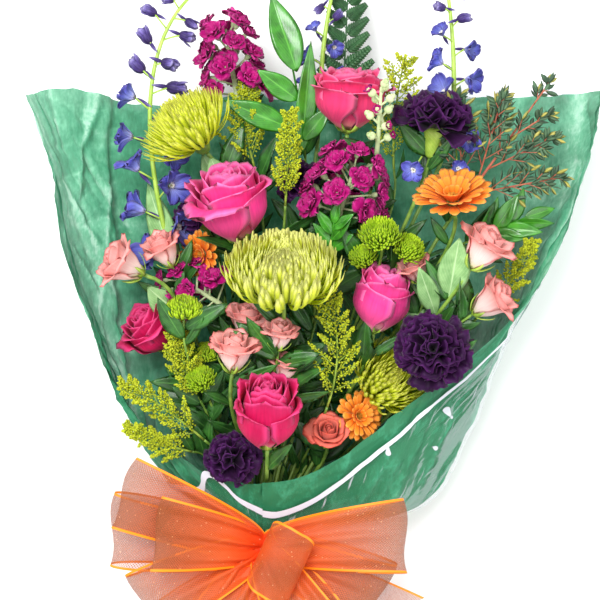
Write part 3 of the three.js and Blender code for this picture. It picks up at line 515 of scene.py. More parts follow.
def tubes(form, path, radius, sides, shade, finish=0):
    """Closed round tubes: path (n, k, 3) holds the points along each, radius (n, k) its thickness
    there. A ring of corners stands square to the path at each point, and both ends close in a fan."""
    n, k = path.shape[:2]
    ahead = unit(np.gradient(path, axis=1)) if k > 2 else unit(np.repeat(path[:, 1:] - path[:, :1], 2, 1))
    steep = np.abs(ahead[..., 2]).mean(1)[:, None, None] > 0.85
    side = unit(np.cross(np.where(steep, [1.0, 0, 0], UP), ahead))
    above = np.cross(ahead, side)
    turn = np.linspace(0, 2 * pi, sides, endpoint=False)[:, None]
    ring = side[:, :, None] * cos(turn) + above[:, :, None] * sin(turn)
    body = path[:, :, None] + ring * np.broadcast_to(radius, (n, k))[:, :, None, None]
    corners = np.concatenate([body.reshape(n, -1, 3), path[:, [0, -1]]], 1)
    i, j = np.meshgrid(np.arange(k - 1), np.arange(sides), indexing="ij")
    a, b = (i * sides + j).ravel(), (i * sides + (j + 1) % sides).ravel()
    wall = np.stack([a, b, b + sides, a + sides], 1)
    j = np.arange(sides)
    after, none, last = (j + 1) % sides, np.full(sides, -1), (k - 1) * sides
    start = np.stack([np.full(sides, k * sides), after, j, none], 1)
    stop = np.stack([np.full(sides, k * sides + 1), last + j, last + after, none], 1)
    along = np.concatenate([np.repeat(np.linspace(0, 1, k), sides), [0, 1]])
    across = np.concatenate([np.tile(np.linspace(0, 1, sides), k), [0.5, 0.5]])
    form.add(corners, np.concatenate([wall, start, stop]), np.stack([along, across], 1), shade, finish)


def organza_finish():
    """Sheer fabric that is dusty and see-through where it is spread and bright orange where it is
    gathered, which its shade counts. Fine threads run both ways, small flecks are painted sparkle
    highlights in a pale gold, and a wire in a solid satin band runs along both edges."""
    gauze = Finish("orange_organza")
    along, across = gauze.place()
    spread, where = gauze.shade(), gauze.where()
    edge = gauze.math("GREATER_THAN", gauze.aside(across), 0.468)
    threads = [gauze.math("SINE", gauze.math("MULTIPLY", *way)) for way in ((along, 700.0), (across, 170.0))]
    uneven = gauze.math("ADD", gauze.math("MULTIPLY", *threads), gauze.noise(where, 240.0, 4.0))
    body = gauze.ramp(spread, {0: "dc3208", 0.25: "f4511a", 0.55: "dc5e28", 1: "9a542e"})
    # Painted highlights: small flecks lightened to a pale gold, as sparkle.
    painted_sparkle = gauze.node("TexVoronoi", {"Vector": where, "Scale": 170.0})
    with_painted_sparkles = gauze.blend(gauze.scaled(painted_sparkle, 0.06, 0.12, 0.7, 0.0), body, "ffd8a8")
    sheer = gauze.scaled(spread, 0.0, 1.0, 0.88, 0.54)
    woven = gauze.math("ADD", sheer, gauze.scaled(uneven, -0.5, 1.5, -0.16, 0.16))
    solid = gauze.math("MAXIMUM", woven, edge, use_clamp=True)
    colour, bump = gauze.blend(edge, with_painted_sparkles, "ff8c18"), gauze.bump(uneven, 0.3, 0.0004)
    return gauze.done({"Base Color": colour, "Normal": bump, "Roughness": 0.4, "Specular IOR Level": 0.3,
                       "Alpha": solid})


def cord_finish():
    """Matt twisted cord: slanting strands by a wave over the turn."""
    cord = Finish("raffia_tie")
    strands = cord.node("TexWave", {"Vector": cord.where(), "Scale": 160.0, "Distortion": 3.0}, 1)
    colour = cord.ramp(strands, {0.2: "a98a4e", 0.8: "dcc48c"})
    return cord.done({"Base Color": colour, "Normal": cord.bump(strands, 0.5, 0.0006), "Roughness": 0.8})


tie_low, tie_high = (np.array(corner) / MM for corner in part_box("binding"))
ring_radius = (tie_high[0] - tie_low[0]) / 2 - 1.3
cord = Form()
for level in (-3.6, -1.2, 1.2, 3.6):
    turn = np.linspace(0, 2 * pi, 60)
    loop = np.stack([ring_radius * cos(turn), 0 * turn + level, ring_radius * sin(turn)], -1) + tie
    tubes(cord, loop[None], np.full((1, 60), 1.25), 8, 0.5)
cord.piece("tie_cord", [cord_finish()], "binding")

RIBBON_HALF = 35
PINCH = 6  # half the ribbon's width where it is gathered in the knot
KNOT_RADIUS = 15
STANDING_AT = np.array([18, -8, 0])  # from the knot to the foot of the loop that stands on it
NOTCH = 22  # how deep the ends of the ribbon are cut in
knot = np.array([tie[0], tie[1], tie_high[2] + 0.35 + KNOT_RADIUS])


def loop_surface(heading, reach, rise, puff, slant):
    """A ribbon loop: it leaves the knot, turns back at its reach and comes back `puff` lower. Its
    width swells from the pinch by a power of a sine. Folds fan out from the knot and fade, the
    wired edges ruffle, and `slant` turns the way back aside. Its shade is how far it has spread."""
    u, v = (span[0] for span in spans(64, 30))
    out = (1 - cos(2 * pi * u)) / 2
    half = mix(PINCH, RIBBON_HALF, sin(pi * u) ** 0.75)
    gather = (1 - out) ** 0.8 * step(out, 0.0, 0.12)
    folds = gather * (4.2 * sin(9.5 * v + heading * 3 + 2 * u) + 1.8 * sin(17 * v + heading))
    folds = folds + 1.6 * out * sin(3 * v + 5 * u + heading)
    ruffle = 1.6 * np.abs(v) ** 5 * out * sin(16 * u + heading * 2 + 2 * v)
    lift = rise * out + puff * sin(2 * pi * u) * sin(pi * u) + 3 * v * v * out + folds + ruffle
    ahead = reach * out * (1 + 0.03 * sin(2.5 * v + heading))
    return knot + around_axis(ahead, half * v, heading + slant * (u - 0.5), lift), out**0.6 + 0 * v


def tail_surface(heading, reach, drop):
    """A loose end: it widens from the knot, waves, and ends in a notch."""
    u, v = (span[0] for span in spans(50, 30))
    half = mix(PINCH, RIBBON_HALF, u**0.6)
    ahead = reach * u - step(u, 0.8, 1) * NOTCH * (1 - np.abs(v))
    folds = (1 - u) ** 1.5 * step(u, 0, 0.1) * 3.5 * sin(9 * v + heading)
    ruffle = 1.5 * np.abs(v) ** 5 * u * sin(15 * u + 2 * v)
    lift = -drop * u + 7 * sin(2 * pi * u) + 4 * v * u + folds + ruffle
    return knot + around_axis(ahead, half * v, heading, lift), u**0.5 + 0 * v


def standing_surface():
    """The loop over the knot: the ribbon goes round an upright oval, and is pinched below."""
    u, v = (span[0] for span in spans(64, 30))
    u = 2 * pi * u
    along, side = np.array([0.87, -0.49, 0]), np.array([0.42, 0.91, 0])
    low = (1 + cos(u)) / 2
    half = mix(RIBBON_HALF, 9, low**1.5)
    ahead = 25 * sin(u) * (1 - 0.25 * low) + 0 * v
    level = 24 - 22 * cos(u) + 2.5 * low * sin(9 * v) + 1.2 * np.abs(v) ** 5 * sin(9 * u)
    ways = ahead[..., None] * along + (half * v)[..., None] * side + level[..., None] * UP
    return knot + STANDING_AT + ways, 0.78 * (1 - low) + 0.12 + 0.1 * sin(5 * v + u)


LOOPS = [  # heading in degrees, reach, rise, puff, slant
    (156, 142, 30, 14, 0.1), (172, 144, 8, 9, -0.16), (168, 100, 42, 13, 0.12), (205, 122, 24, 12, 0.2),
    (7, 136, 30, 14, -0.14), (-22, 122, 4, 10, 0.12), (240, 100, 14, 12, -0.1), (304, 100, 28, 13, 0.2),
]
TAILS = [(222, 166, 8), (276, 148, 10), (-30, 160, 12)]  # heading in degrees, reach, drop

bow = Form()
for heading, *shape in LOOPS:
    bow.sheet(*loop_surface(np.radians(heading), *shape))
for heading, *shape in TAILS:
    bow.sheet(*tail_surface(np.radians(heading), *shape))
bow.sheet(*standing_surface())
ribbon = bow.piece("organza_ribbon", [organza_finish()], "ribbon_bow")

# ---- Roses --------------------------------------------------------------------------------------
# Five pink roses, three half open and two hardly opened. Broad outer petals cup the flower and roll
# back at their lips, the inner ones stand closer round a tight heart, and five sepals hang under.

rng = np.random.default_rng(5)
TURN = 2.399963  # the golden angle, at which petals follow each other
CUP_THICK = 0.7  # of the roses' petals
ARC_THICK = 0.6  # of the mums', carnations' and gerberas' petals
LEAF_THICK = 0.5  # of leaves and of the petals in the spikes


def blades(form, middle, thick, shade, finish):
    """Closed blades round middle surfaces: middle (n, rows, cols, 3) runs from root to tip and from
    side to side. Both faces stand half the thickness off it along its normal, and meet at its rim."""
    n, rows, cols = middle.shape[:3]
    normal = unit(np.cross(np.gradient(middle, axis=2), np.gradient(middle, axis=1)))
    inside = np.zeros((rows, cols, 1))
    inside[1:-1, 1:-1] = 0.5 * thick
    top = (middle + normal * inside).reshape(n, -1, 3)
    under = (middle - normal * inside)[:, 1:-1, 1:-1].reshape(n, -1, 3)
    lower = np.arange(rows * cols).reshape(rows, cols)
    lower[1:-1, 1:-1] = rows * cols + np.arange((rows - 2) * (cols - 2)).reshape(rows - 2, cols - 2)
    quads, places = grid_faces(rows, cols), grid_places(rows, cols)
    inner = places.reshape(rows, cols, 2)[1:-1, 1:-1].reshape(-1, 2)
    faces = np.concatenate([quads, lower.ravel()[quads][:, ::-1]])
    form.add(np.concatenate([top, under], 1), faces, np.concatenate([places, inner]), shade, finish)


def set_out(points, at, axis, roll=0.0):
    """Points of a flower about its own Z axis (n, m, 3), set at each place with that axis along
    `axis` and turned by `roll` about it."""
    up = unit(np.asarray(axis, float).reshape(-1, 1, 3))
    side = unit(np.cross(np.where(np.abs(up[..., 2:]) < 0.9, UP, [1.0, 0, 0]), up))
    back = np.cross(up, side)
    roll = np.reshape(roll, (-1, 1, 1))
    x, y, z = points[..., :1], points[..., 1:2], points[..., 2:]
    across = x * cos(roll) - y * sin(roll)
    deep = x * sin(roll) + y * cos(roll)
    return np.asarray(at, float).reshape(-1, 1, 3) + across * side + deep * back + z * up


def on_head(points, head):
    """Points of one flower, in any grid, set out on its head (place, axis, roll)."""
    return set_out(points.reshape(1, -1, 3), *head).reshape(points.shape)


def calyx(form, head, half, radii, heights, finish, shade=0.55, sides=14):
    """A closed turned shape along the flower's axis: radii at heights given as shares of half."""
    path = np.array([[[0, 0, h * half] for h in heights]])
    tubes(form, on_head(path, head), np.array([radii], float), sides, shade, finish)


def petal_finish(name, stops, edge, glow=0.2, streak=0.15, edge_width=0.12, dull=0.5):
    """A petal's colour runs from root to tip through the stops, turns to `edge` at its rim, is
    streaked along by stretched noise, and is darker or paler by its own shade."""
    petal = Finish(name)
    along, across = petal.place()
    own = petal.shade()
    sides = petal.scaled(petal.aside(across), 0.5 - edge_width, 0.5, 0.0, 0.9)
    tips = petal.scaled(along, 1 - edge_width, 1.0, 0.0, 1.0)
    rimmed = petal.blend(petal.math("MAXIMUM", sides, tips), petal.ramp(along, stops), edge)
    veins = petal.noise(petal.stretched((across, 26.0), (along, 2.2), (own, 90.0)), 1.0, 3.0)
    streaks = petal.scaled(veins, 0.25, 0.75, 1 - streak, 1 + streak)
    strength = petal.math("MULTIPLY", streaks, petal.scaled(own, 0.0, 1.0, 0.68, 1.14))
    colour = petal.node("HueSaturation", {"Value": strength, "Color": rimmed})
    return petal.done({"Base Color": colour, "Normal": petal.bump(veins, 0.15, 0.0005), "Roughness": dull,
                       "Specular IOR Level": 0.22, "Sheen Weight": 0.06, "Sheen Roughness": 0.4}, glow)


def leaf_finish(name, dark, light, vein, dull, coat):
    """A leaf: mottled between two greens, with a pale midrib and side veins slanting off it."""
    leaf = Finish(name)
    along, across = leaf.place()
    aside = leaf.aside(across)
    wave = leaf.math("SINE", leaf.math("MULTIPLY", leaf.math("SUBTRACT", along, aside), 70.0))
    rib = leaf.scaled(aside, 0.0, 0.045, 1.0, 0.0)
    marks = leaf.math("MAXIMUM", rib, leaf.scaled(wave, 0.82, 1.0, 0.0, 0.35))
    body = leaf.ramp(leaf.noise(leaf.where(), 90.0, 4.0), {0.36: dark, 0.66: light})
    shaded = leaf.scaled(leaf.shade(), 0.0, 1.0, 0.5, 1.35)
    colour = leaf.node("HueSaturation", {"Value": shaded, "Color": leaf.blend(marks, body, vein)})
    return leaf.done({"Base Color": colour, "Normal": leaf.bump(marks, 0.3, 0.0006), "Roughness": dull,
                      "Coat Weight": coat, "Coat Roughness": 0.25})


green_stem = leaf_finish("green_stem", "4f7a24", "8aac45", "a9c766", 0.45, 0.15)
fresh_green = leaf_finish("fresh_green", "8db336", "b2d053", "cde27c", 0.45, 0.1)


def cup_petals(form, head, count, size, half, shape, grid, shade):
    """One ring of cupped petals. In each, the distance from the axis swells from root to belly by a
    sine and goes on to the lip, and the height climbs to the lip. The rim and the sides roll back,
    most near the corners, which leaves a point in the middle. One side laps over the next petal."""
    first, root, belly, lip, low, high, spread, curl = shape
    u, v = spans(*grid)
    pick = lambda low, high: rng.uniform(low, high, (count, 1, 1))
    around = first + 2 * pi * (np.arange(count)[:, None, None] + pick(-0.08, 0.08)) / count
    point = 0.14 * bell(v, 0.26) * min(1, 8 * curl)
    length = 1 - 0.2 * np.abs(v) ** 2.6 + point + 0.015 * sin(9 * v + pick(0, 6))
    s = u * length * pick(0.95, 1.04)
    reach = root + (belly - root) * sin(pi / 2 * np.minimum(s / 0.55, 1)) + (lip - belly) * step(s, 0.45, 1)
    tip = np.clip((s - 0.7) / 0.3, 0, 1.3)
    rolled = curl * pick(0.6, 1.4) * (1 + 0.8 * v * v)
    lap = 0.045 * v + (0.06 + curl * 0.9) * np.abs(v) ** 3.5 * s**2 * pick(0.3, 1.1)
    reach = reach + rolled * tip**2 + lap + 0.012 * s * sin(6 * v + pick(0, 6))
    rise = low + (high - low) * s**0.9 - 0.9 * rolled * tip**2.2 + 0.02 * s * sin(5 * v + pick(0, 6))
    angle = around + spread * v * (0.42 + 0.58 * step(s, 0, 0.5))
    points = around_axis(size * reach, 0, angle, half * rise)
    blades(form, on_head(points, head), CUP_THICK, rng.uniform(*shade, count), 0)


def sepals(form, head, size, half, droop):
    """Five narrow pointed sepals from the base, each an arc that opens outwards, and the hip they
    grow from, a short closed tube."""
    u, v = spans(7, 3)
    around = 2 * pi * np.arange(5)[:, None, None] / 5 + rng.uniform(-0.2, 0.2, (5, 1, 1))
    reach = size * (0.14 + 0.75 * sin(1.5 * u) * droop) + 0 * v
    rise = half * (-0.95 + 0.9 * u**1.4 - 0.2 * droop * u**3) - 0.5 + 0 * v
    wide = size * 0.16 * (1 - u) ** 0.7 * np.minimum(1, 6 * u + 0.4) * v
    points = around_axis(reach, wide, around, rise + 0 * around)
    blades(form, on_head(points, head), CUP_THICK, rng.uniform(0.5, 0.9, 5), 1)
    radii = np.array([0.1, 0.17, 0.19, 0.12]) * size
    calyx(form, head, half, radii, (-1.0, -0.92, -0.8, -0.68), 1, 0.6, 10)


def rose(node, name, axis, size, half, petals, rings, grid, droop):
    """A rose: its rings of petals from the outside in, darker inwards by painted shade, and its sepals."""
    head = (middle_of(node), axis, rng.uniform(0, 6))
    form = Form()
    for k, (count, shape) in enumerate(rings):
        # Painted shade: each ring further in gets a lower shade, where the outer petals shade it.
        inner = 0.45 * k / len(rings)
        cup_petals(form, head, count, size, half, shape, grid, (0.6 - inner, 1.0 - inner))
    sepals(form, head, size, half, droop)
    form.piece(name, [petals, fresh_green], node)


ROSE_RINGS = [  # petals, first angle, then root, belly, lip, low, high, half angle, curl
    (3, (0.0, 0.2, 0.9, 0.9, -0.9, 0.66, 1.12, 0.24)),
    (3, (0.9, 0.2, 0.84, 0.8, -0.86, 0.86, 1.15, 0.2)),
    (4, (0.3, 0.18, 0.75, 0.66, -0.8, 0.96, 1.0, 0.12)),
    (3, (0.9, 0.16, 0.64, 0.52, -0.7, 1.0, 1.2, 0.05)),
    (3, (0.1, 0.14, 0.5, 0.4, -0.6, 1.03, 1.2, 0.025)),
    (3, (0.8, 0.12, 0.37, 0.28, -0.5, 1.0, 1.25, 0.01)),
    (3, (0.2, 0.08, 0.25, 0.17, -0.4, 0.97, 1.3, 0.0)),
    (2, (0.3, 0.05, 0.14, 0.08, -0.3, 0.94, 1.8, 0.0)),
]
BUD_RINGS = [  # the same, for the two that have hardly opened: the outer petals still hug the bud
    (3, (0.0, 0.25, 0.96, 0.84, -0.9, 0.56, 1.12, 0.13)),
    (3, (0.9, 0.22, 0.9, 0.72, -0.86, 0.84, 1.15, 0.12)),
    (4, (0.3, 0.2, 0.78, 0.56, -0.8, 0.98, 1.0, 0.08)),
    *ROSE_RINGS[3:],
]
pink_rose = petal_finish("pink_rose", {0: "fbc9c0", 0.2: "ee5498", 0.7: "e6388a", 1: "ee529c"}, "f87cb8")
deep_rose = petal_finish("deep_pink_rose", {0: "f7a0b0", 0.2: "d0205e", 0.7: "c41050", 1: "d62868"}, "ea4c8a")
coral_rose = petal_finish("coral_rose", {0: "f7b0a0", 0.2: "ee4a80", 0.75: "e83872", 1: "ee5288"}, "f47aa6")
ROSES = [  # node, axis, size, half height, finish and rings
    ("rose_1", (0.05, 1, 0.25), 36, 31, coral_rose, ROSE_RINGS),
    ("rose_2", (-0.2, 0.88, 0.42), 37, 38, pink_rose, ROSE_RINGS),
    ("rose_3", (0.2, 0.92, 0.3), 28, 33, pink_rose, BUD_RINGS),
    ("rose_4", (0.02, 0.85, 0.53), 30, 39, deep_rose, BUD_RINGS),
    ("rose_5", (-0.5, 0.6, 0.4), 26, 24, deep_rose, ROSE_RINGS),
]
for node, axis, size, half, petals, rings in ROSES:
    rose(node, node.replace("_", "_bloom_"), axis, size, half, petals, rings, (13, 13), 0.5)

# ---- Spray roses --------------------------------------------------------------------------------
# Ten small salmon roses on branched stems, one of them deeper. Their petals are paler inside and
# rolled at the lip, and their yellow-green sepals reach half way up them.

salmon_rose = petal_finish(
    "salmon_rose", {0: "f3ecb8", 0.2: "fce9e4", 0.6: "fcd2cd", 1: "f8b0aa"}, "f48c86", 0.3, 0.1, 0.09)
deep_salmon = petal_finish(
    "deep_salmon_rose", {0: "f3d8a8", 0.2: "fab8a4", 0.6: "f59484", 1: "f07a68"}, "ee6450", 0.25, 0.1, 0.1)
SPRAY_RINGS = [  # as for the large roses
    (4, (0.0, 0.18, 0.66, 0.98, -0.9, 0.74, 0.98, 0.24)),
    (4, (0.7, 0.16, 0.62, 0.78, -0.8, 0.92, 1.0, 0.15)),
    (3, (0.25, 0.14, 0.5, 0.5, -0.6, 1.0, 1.2, 0.06)),
    (3, (0.9, 0.1, 0.34, 0.26, -0.5, 1.0, 1.25, 0.02)),
    (2, (0.3, 0.05, 0.18, 0.08, -0.3, 0.98, 1.8, 0.0)),
]
SPRAY_ROSES = [  # node, axis, size, half height
    ("spray_rose_1", (-0.9, 0.45, 0.35), 21, 21),
    ("spray_rose_2", (-0.4, 0.8, 0.4), 17, 18),
    ("spray_rose_3", (0.1, 0.95, 0.4), 18, 17),
    ("spray_rose_4", (0.1, 0.95, 0.4), 20, 20),
    ("spray_rose_5", (0.1, 0.95, 0.4), 15, 15),
    ("spray_rose_6", (0.2, 0.95, 0.3), 14, 14),
    ("spray_rose_7", (0.5, 0.8, 0.35), 22, 22),
    ("spray_rose_8", (0.75, 0.55, 0.35), 19, 21),
    ("spray_rose_9", (-0.4, 0.8, 0.4), 14, 14),
    ("spray_rose_10", (0.05, 0.6, 0.8), 16, 15),
]
for node, axis, size, half in SPRAY_ROSES:
    petals = deep_salmon if node == "spray_rose_10" else salmon_rose
    rose(node, node + "_bloom", axis, size, half, petals, SPRAY_RINGS, (11, 11), 0.9)

# ---- Mums ---------------------------------------------------------------------------------------
# One football mum, whose many narrow petals curl in over its crown, two spider mums with thin
# straight petals, and six little button poms. Petals follow each other at the golden angle.


def arc_petals(form, head, base, length, start, bend, half_width, hollow, grid, shade, finish=0,
               gap=TURN, ripple=0.0, teeth=0.0):
    """Petals that leave the axis as circular arcs. base (n, 2) is each root's distance from the axis
    and height, `start` its angle from the axis there, and `bend` how much that angle changes by the
    tip. Across, a petal is hollowed by a square law, and `ripple` waves it by a sine that grows
    towards the tip. It widens from root to tip and is rounded off, or cut into `teeth` there."""
    n = len(length)
    column = lambda a: np.reshape(np.broadcast_to(a, n), (n, 1, 1))
    u, v = spans(*grid)
    around = column(np.arange(n) * gap + rng.normal(0, 0.08, n))
    turned, first = column(np.where(np.abs(bend) < 0.02, 0.02, bend)), column(start)
    if teeth:
        s = u * (1 - teeth * (np.arange(grid[1]) % 2 == 0) * u**3 - 0.16 * v**2)
        wide = column(half_width) * mix(0.16, 1, u**0.95)
    else:
        s = u + 0 * v
        round_off = np.sqrt(np.clip(1 - (np.clip(u - 0.8, 0, 1) / 0.21) ** 2, 0.03, 1))
        wide = column(half_width) * mix(0.45, 1, u) * round_off
    lean = first + turned * s
    out = column(base[:, 0]) + column(length) * (cos(first) - cos(lean)) / turned
    up = column(base[:, 1]) + column(length) * (sin(lean) - sin(first)) / turned
    wave = sin(v * column(rng.uniform(4, 7.5, n)) + column(rng.uniform(0, 6, n)))
    lift = hollow * wide * v**2 + ripple * column(length) * u**1.6 * wave
    points = around_axis(out - lift * cos(lean), wide * v, around, up + lift * sin(lean))
    shades = rng.uniform(*shade, n) if isinstance(shade, tuple) else shade
    blades(form, on_head(points, head), ARC_THICK, shades, finish)


def mum(node, axis, size, half, petals, slot, count, inner, outer, wide, hollow, core, rows):
    """A mum: from its crown to its rim, each petal's length, first angle and bend run from `inner`
    to `outer` by a root of its order. A small green core holds the roots."""
    head = (middle_of(node), axis, rng.uniform(0, 6))
    form = Form()
    share = (np.arange(count) / (count - 1)) ** 0.72
    length, start, bend = (mix(a, b, share) * rng.uniform(0.94, 1.05, count) for a, b in zip(inner, outer))
    base = np.stack([core * size * share, half * mix(-0.2, -0.62, share)], 1)
    shade = mix(0.85, 0.7, share) + rng.uniform(-0.15, 0.15, count)
    arc_petals(form, head, base, length * size, start, bend, wide * size * mix(0.75, 1, share), hollow,
               (rows, 3), shade)
    radii = [0.1 * size, core * size * 1.1, core * size, 0.05 * size]
    calyx(form, head, half, radii, (-0.98, -0.8, -0.4, -0.1), 1)
    form.piece(node + "_bloom", [petals, green_stem], node)


football_petals = petal_finish(
    "pale_lime_petals", {0: "c0d010", 0.5: "deee24", 0.8: "f0f55c", 1: "fafabe"}, "f6f98c", 0.45, 0.05)
spider_petals = petal_finish(
    "lime_petals", {0: "ccd81a", 0.35: "e6f02c", 0.8: "f0f64c", 1: "fafa96"}, "f6f86c", 0.55, 0.05)
pom_petals = petal_finish("green_pom_petals", {0: "8ab80a", 0.4: "b2da14", 1: "d2ee3c"}, "ccea34", 0.35, 0.05)
MUMS = [  # node, axis, size, half height, petals
    ("football_mum", (0, 0.85, 0.55), 54, 32, football_petals),
    ("spider_mum_1", (-0.55, 0.72, 0.4), 46, 27, spider_petals),
    ("spider_mum_2", (0.45, 0.45, 0.75), 40, 20, spider_petals),
]
PETALS = [  # of each: count, then length, first angle and bend in and out, half width, hollow, core
    (600, (0.56, 0.4, -1.1), (1.17, 1.95, -2.0), 0.064, 0.3, 0.24),
    (420, (0.84, 0.1, -0.3), (1.16, 1.62, -1.15), 0.052, 0.25, 0.16),
    (360, (0.72, 0.2, -0.6), (1.2, 1.7, -1.5), 0.068, 0.3, 0.18),
]
for flower, shape in zip(MUMS, PETALS):
    mum(*flower, "lime_mum", *shape, 7)
POM_SHAPE = (240, (0.92, 0.15, -0.3), (1.1, 2.05, -2.0), 0.092, 0.6, 0.3)
POMS = [  # node, axis, size, half height
    ("button_pom_1", (-0.1, 0.55, 0.8), 18, 12),
    ("button_pom_2", (-0.2, 0.5, 0.8), 13, 10),
    ("button_pom_3", (0.3, 0.5, 0.8), 15, 11),
    ("button_pom_4", (0, 0.95, 0.3), 17, 11),
    ("button_pom_5", (-0.2, 0.6, 0.8), 14, 10),
    ("button_pom_6", (0.1, 0.7, 0.6), 12, 9),
]
for flower in POMS:
    mum(*flower, pom_petals, "green_pom", *POM_SHAPE, 6)

# ---- Carnations ---------------------------------------------------------------------------------
# Five deep purple carnations. Their fan-shaped petals are frilled and toothed at the edge and
# crowd each other, and they spring from a smooth green tube.

purple_carnation = petal_finish(
    "purple_carnation", {0: "0e0110", 0.5: "1b0220", 0.85: "2d0536", 1: "3f0b4c"}, "54165f",
    0.08, 0.3, 0.05, 0.6)
CARNATIONS = [  # node, axis, size, half height
    ("carnation_1", (0.1, 0.9, 0.4), 40, 26),
    ("carnation_2", (-0.25, 0.35, 0.9), 37, 24),
    ("carnation_3", (-0.1, 0.35, 1), 29, 22),
    ("carnation_4", (-0.1, 0.6, 0.8), 24, 18),
    ("carnation_5", (-0.5, 0.6, 0.5), 22, 17),
]
TUBE_RADII = np.array([0.07, 0.13, 0.16, 0.2, 0.25, 0.16])
for node, axis, size, half in CARNATIONS:
    head = (middle_of(node), axis, rng.uniform(0, 6))
    form = Form()
    count = 40 if size > 30 else 30
    share = (np.arange(count) / (count - 1)) ** 0.7
    base = np.stack([0.05 * size + 0 * share, half * mix(-0.3, -0.62, share)], 1)
    length = size * mix(0.72, 1.04, share) * rng.uniform(0.76, 1.08, count)
    start = mix(0.1, 1.15, share) + rng.normal(0, 0.2, count)
    bend = mix(0.1, 0.7, share) + rng.normal(0, 0.35, count)
    arc_petals(form, head, base, length, start, bend, size * mix(0.36, 0.56, share), 0.08,
               (8, 15), (0.1, 0.95), ripple=0.15, teeth=0.035)
    calyx(form, head, half, TUBE_RADII * size, (-1.7, -1.6, -1.3, -0.95, -0.62, -0.5), 1)
    form.piece(node + "_bloom", [purple_carnation, fresh_green], node)

# ---- Gerberas -----------------------------------------------------------------------------------
# Three orange mini gerberas: rings of strap petals, shorter and steeper inwards, round a disc of
# tiny florets.

orange_gerbera = petal_finish(
    "orange_gerbera", {0: "ee6a10", 0.4: "fa8a22", 1: "ffa63c"}, "ffb860", 0.25, 0.12)
gerbera_disc = petal_finish("gerbera_disc", {0: "a8480c", 1: "e8a030"}, "f0b848", 0, 0.1)
GERBERAS = [  # node, axis, size, half height, how far it is open
    ("gerbera_1", (-0.12, 0.78, 0.6), 37, 12, 0.92),
    ("gerbera_2", (-0.6, -0.1, 0.8), 24, 9, 0.9),
    ("gerbera_3", (0.4, 0.2, 0.9), 24, 9, 1.0),
]
STRAPS = [  # petals, reach, first angle, bend, height of the roots
    (20, 0.92, 1.15, 0.35, -0.35), (18, 0.84, 0.9, 0.35, -0.2), (14, 0.56, 0.5, 0.4, -0.05),
    (9, 0.3, 0.2, 0.3, 0.0),
]
DISC_FLORETS = 90
for node, axis, size, half, opened in GERBERAS:
    head = (middle_of(node), axis, rng.uniform(0, 6))
    form = Form()
    for count, reach, start, bend, low in STRAPS:
        base = np.tile([[0.14 * size, half * low]], (count, 1))
        length = size * reach * rng.uniform(0.93, 1.04, count)
        arc_petals(form, head, base, length, start * opened, bend, size * 0.155 * (0.4 + 0.65 * reach), 0.2,
                   (9, 5), (0.55, 0.95), gap=2 * pi / count)
    share = np.sqrt(np.arange(DISC_FLORETS) / DISC_FLORETS)
    base = np.stack([0.16 * size * share, half * (0.1 - 0.15 * share)], 1)
    arc_petals(form, head, base, size * 0.13 + 0 * share, 0.5 * share, 0, size * 0.02, 0,
               (4, 3), (0.3, 0.8), 2)
    calyx(form, head, half, np.array([0.08, 0.24, 0.26, 0.1]) * size, (-0.95, -0.7, -0.4, 0.0), 1)
    form.piece(node + "_bloom", [orange_gerbera, green_stem, gerbera_disc], node)

# ---- Delphiniums --------------------------------------------------------------------------------
# Three tall stalks with spurred blue flowers low down and dark buds above, each on a thin bowed
# stalk of its own.


def bowed(line, share):
    """Points on the stalk that goes through its base, its bowed middle and its tip: the parabola
    through the three. Also its heading there. line holds the base, the tip and the bow."""
    a, c, bow = np.array(line, float)
    b = (a + c) / 2 + bow
    u = np.reshape(share, (-1, 1))
    at = (2 * u * u - 3 * u + 1) * a + (4 * u - 4 * u * u) * b + (2 * u * u - u) * c
    heading = unit((4 * u - 3) * a + (4 - 8 * u) * b + (4 * u - 1) * c)
    return at, heading


def arrow(way, length):
    """Each direction as an arrow of its own length."""
    return way * np.reshape(length, (-1, 1))


def arch(s):
    """The parabola that is 0 at both ends of a span and 1 half way."""
    return 4 * s * (1 - s)


def skewed(s, peak):
    """The sine of half a turn, 0 at both ends of a span, skewed so that it is highest at `peak`."""
    return sin(pi * s ** (np.log(0.5) / np.log(peak)))


def left_right(n):
    """-1 and 1 in turn, for things set left and right of a stalk."""
    return np.where(np.arange(n) % 2, 1.0, -1.0)


def level_side(heading):
    """The level direction square to each heading."""
    return unit(np.stack([heading[:, 1], -heading[:, 0], 0 * heading[:, 0]], 1))


def ways_out(heading, angle, lift):
    """Directions turned from the heading by an angle in the level plane, then tilted up."""
    return unit(arrow(heading, cos(angle)) + arrow(level_side(heading), sin(angle)) + arrow(UP, lift))


def stalk(form, line, radius, finish, steps=16, taper=0.5):
    """The spray's stalk: a tube that thins towards its tip."""
    share = np.linspace(0, 1, steps)
    tubes(form, bowed(line, share)[0][None], (radius * (1 - taper * share))[None], 8, 0.75, finish)


def bent_stalks(form, start, end, sag, radius, finish, steps=6, sides=5):
    """Thin tubes from each start to its end, raised between them by a parabola."""
    u = np.linspace(0, 1, steps)[None, :, None]
    path = mix(start[:, None], end[:, None], u) + UP * (arch(u) * sag)
    tubes(form, path, radius, sides, 0.7, finish)


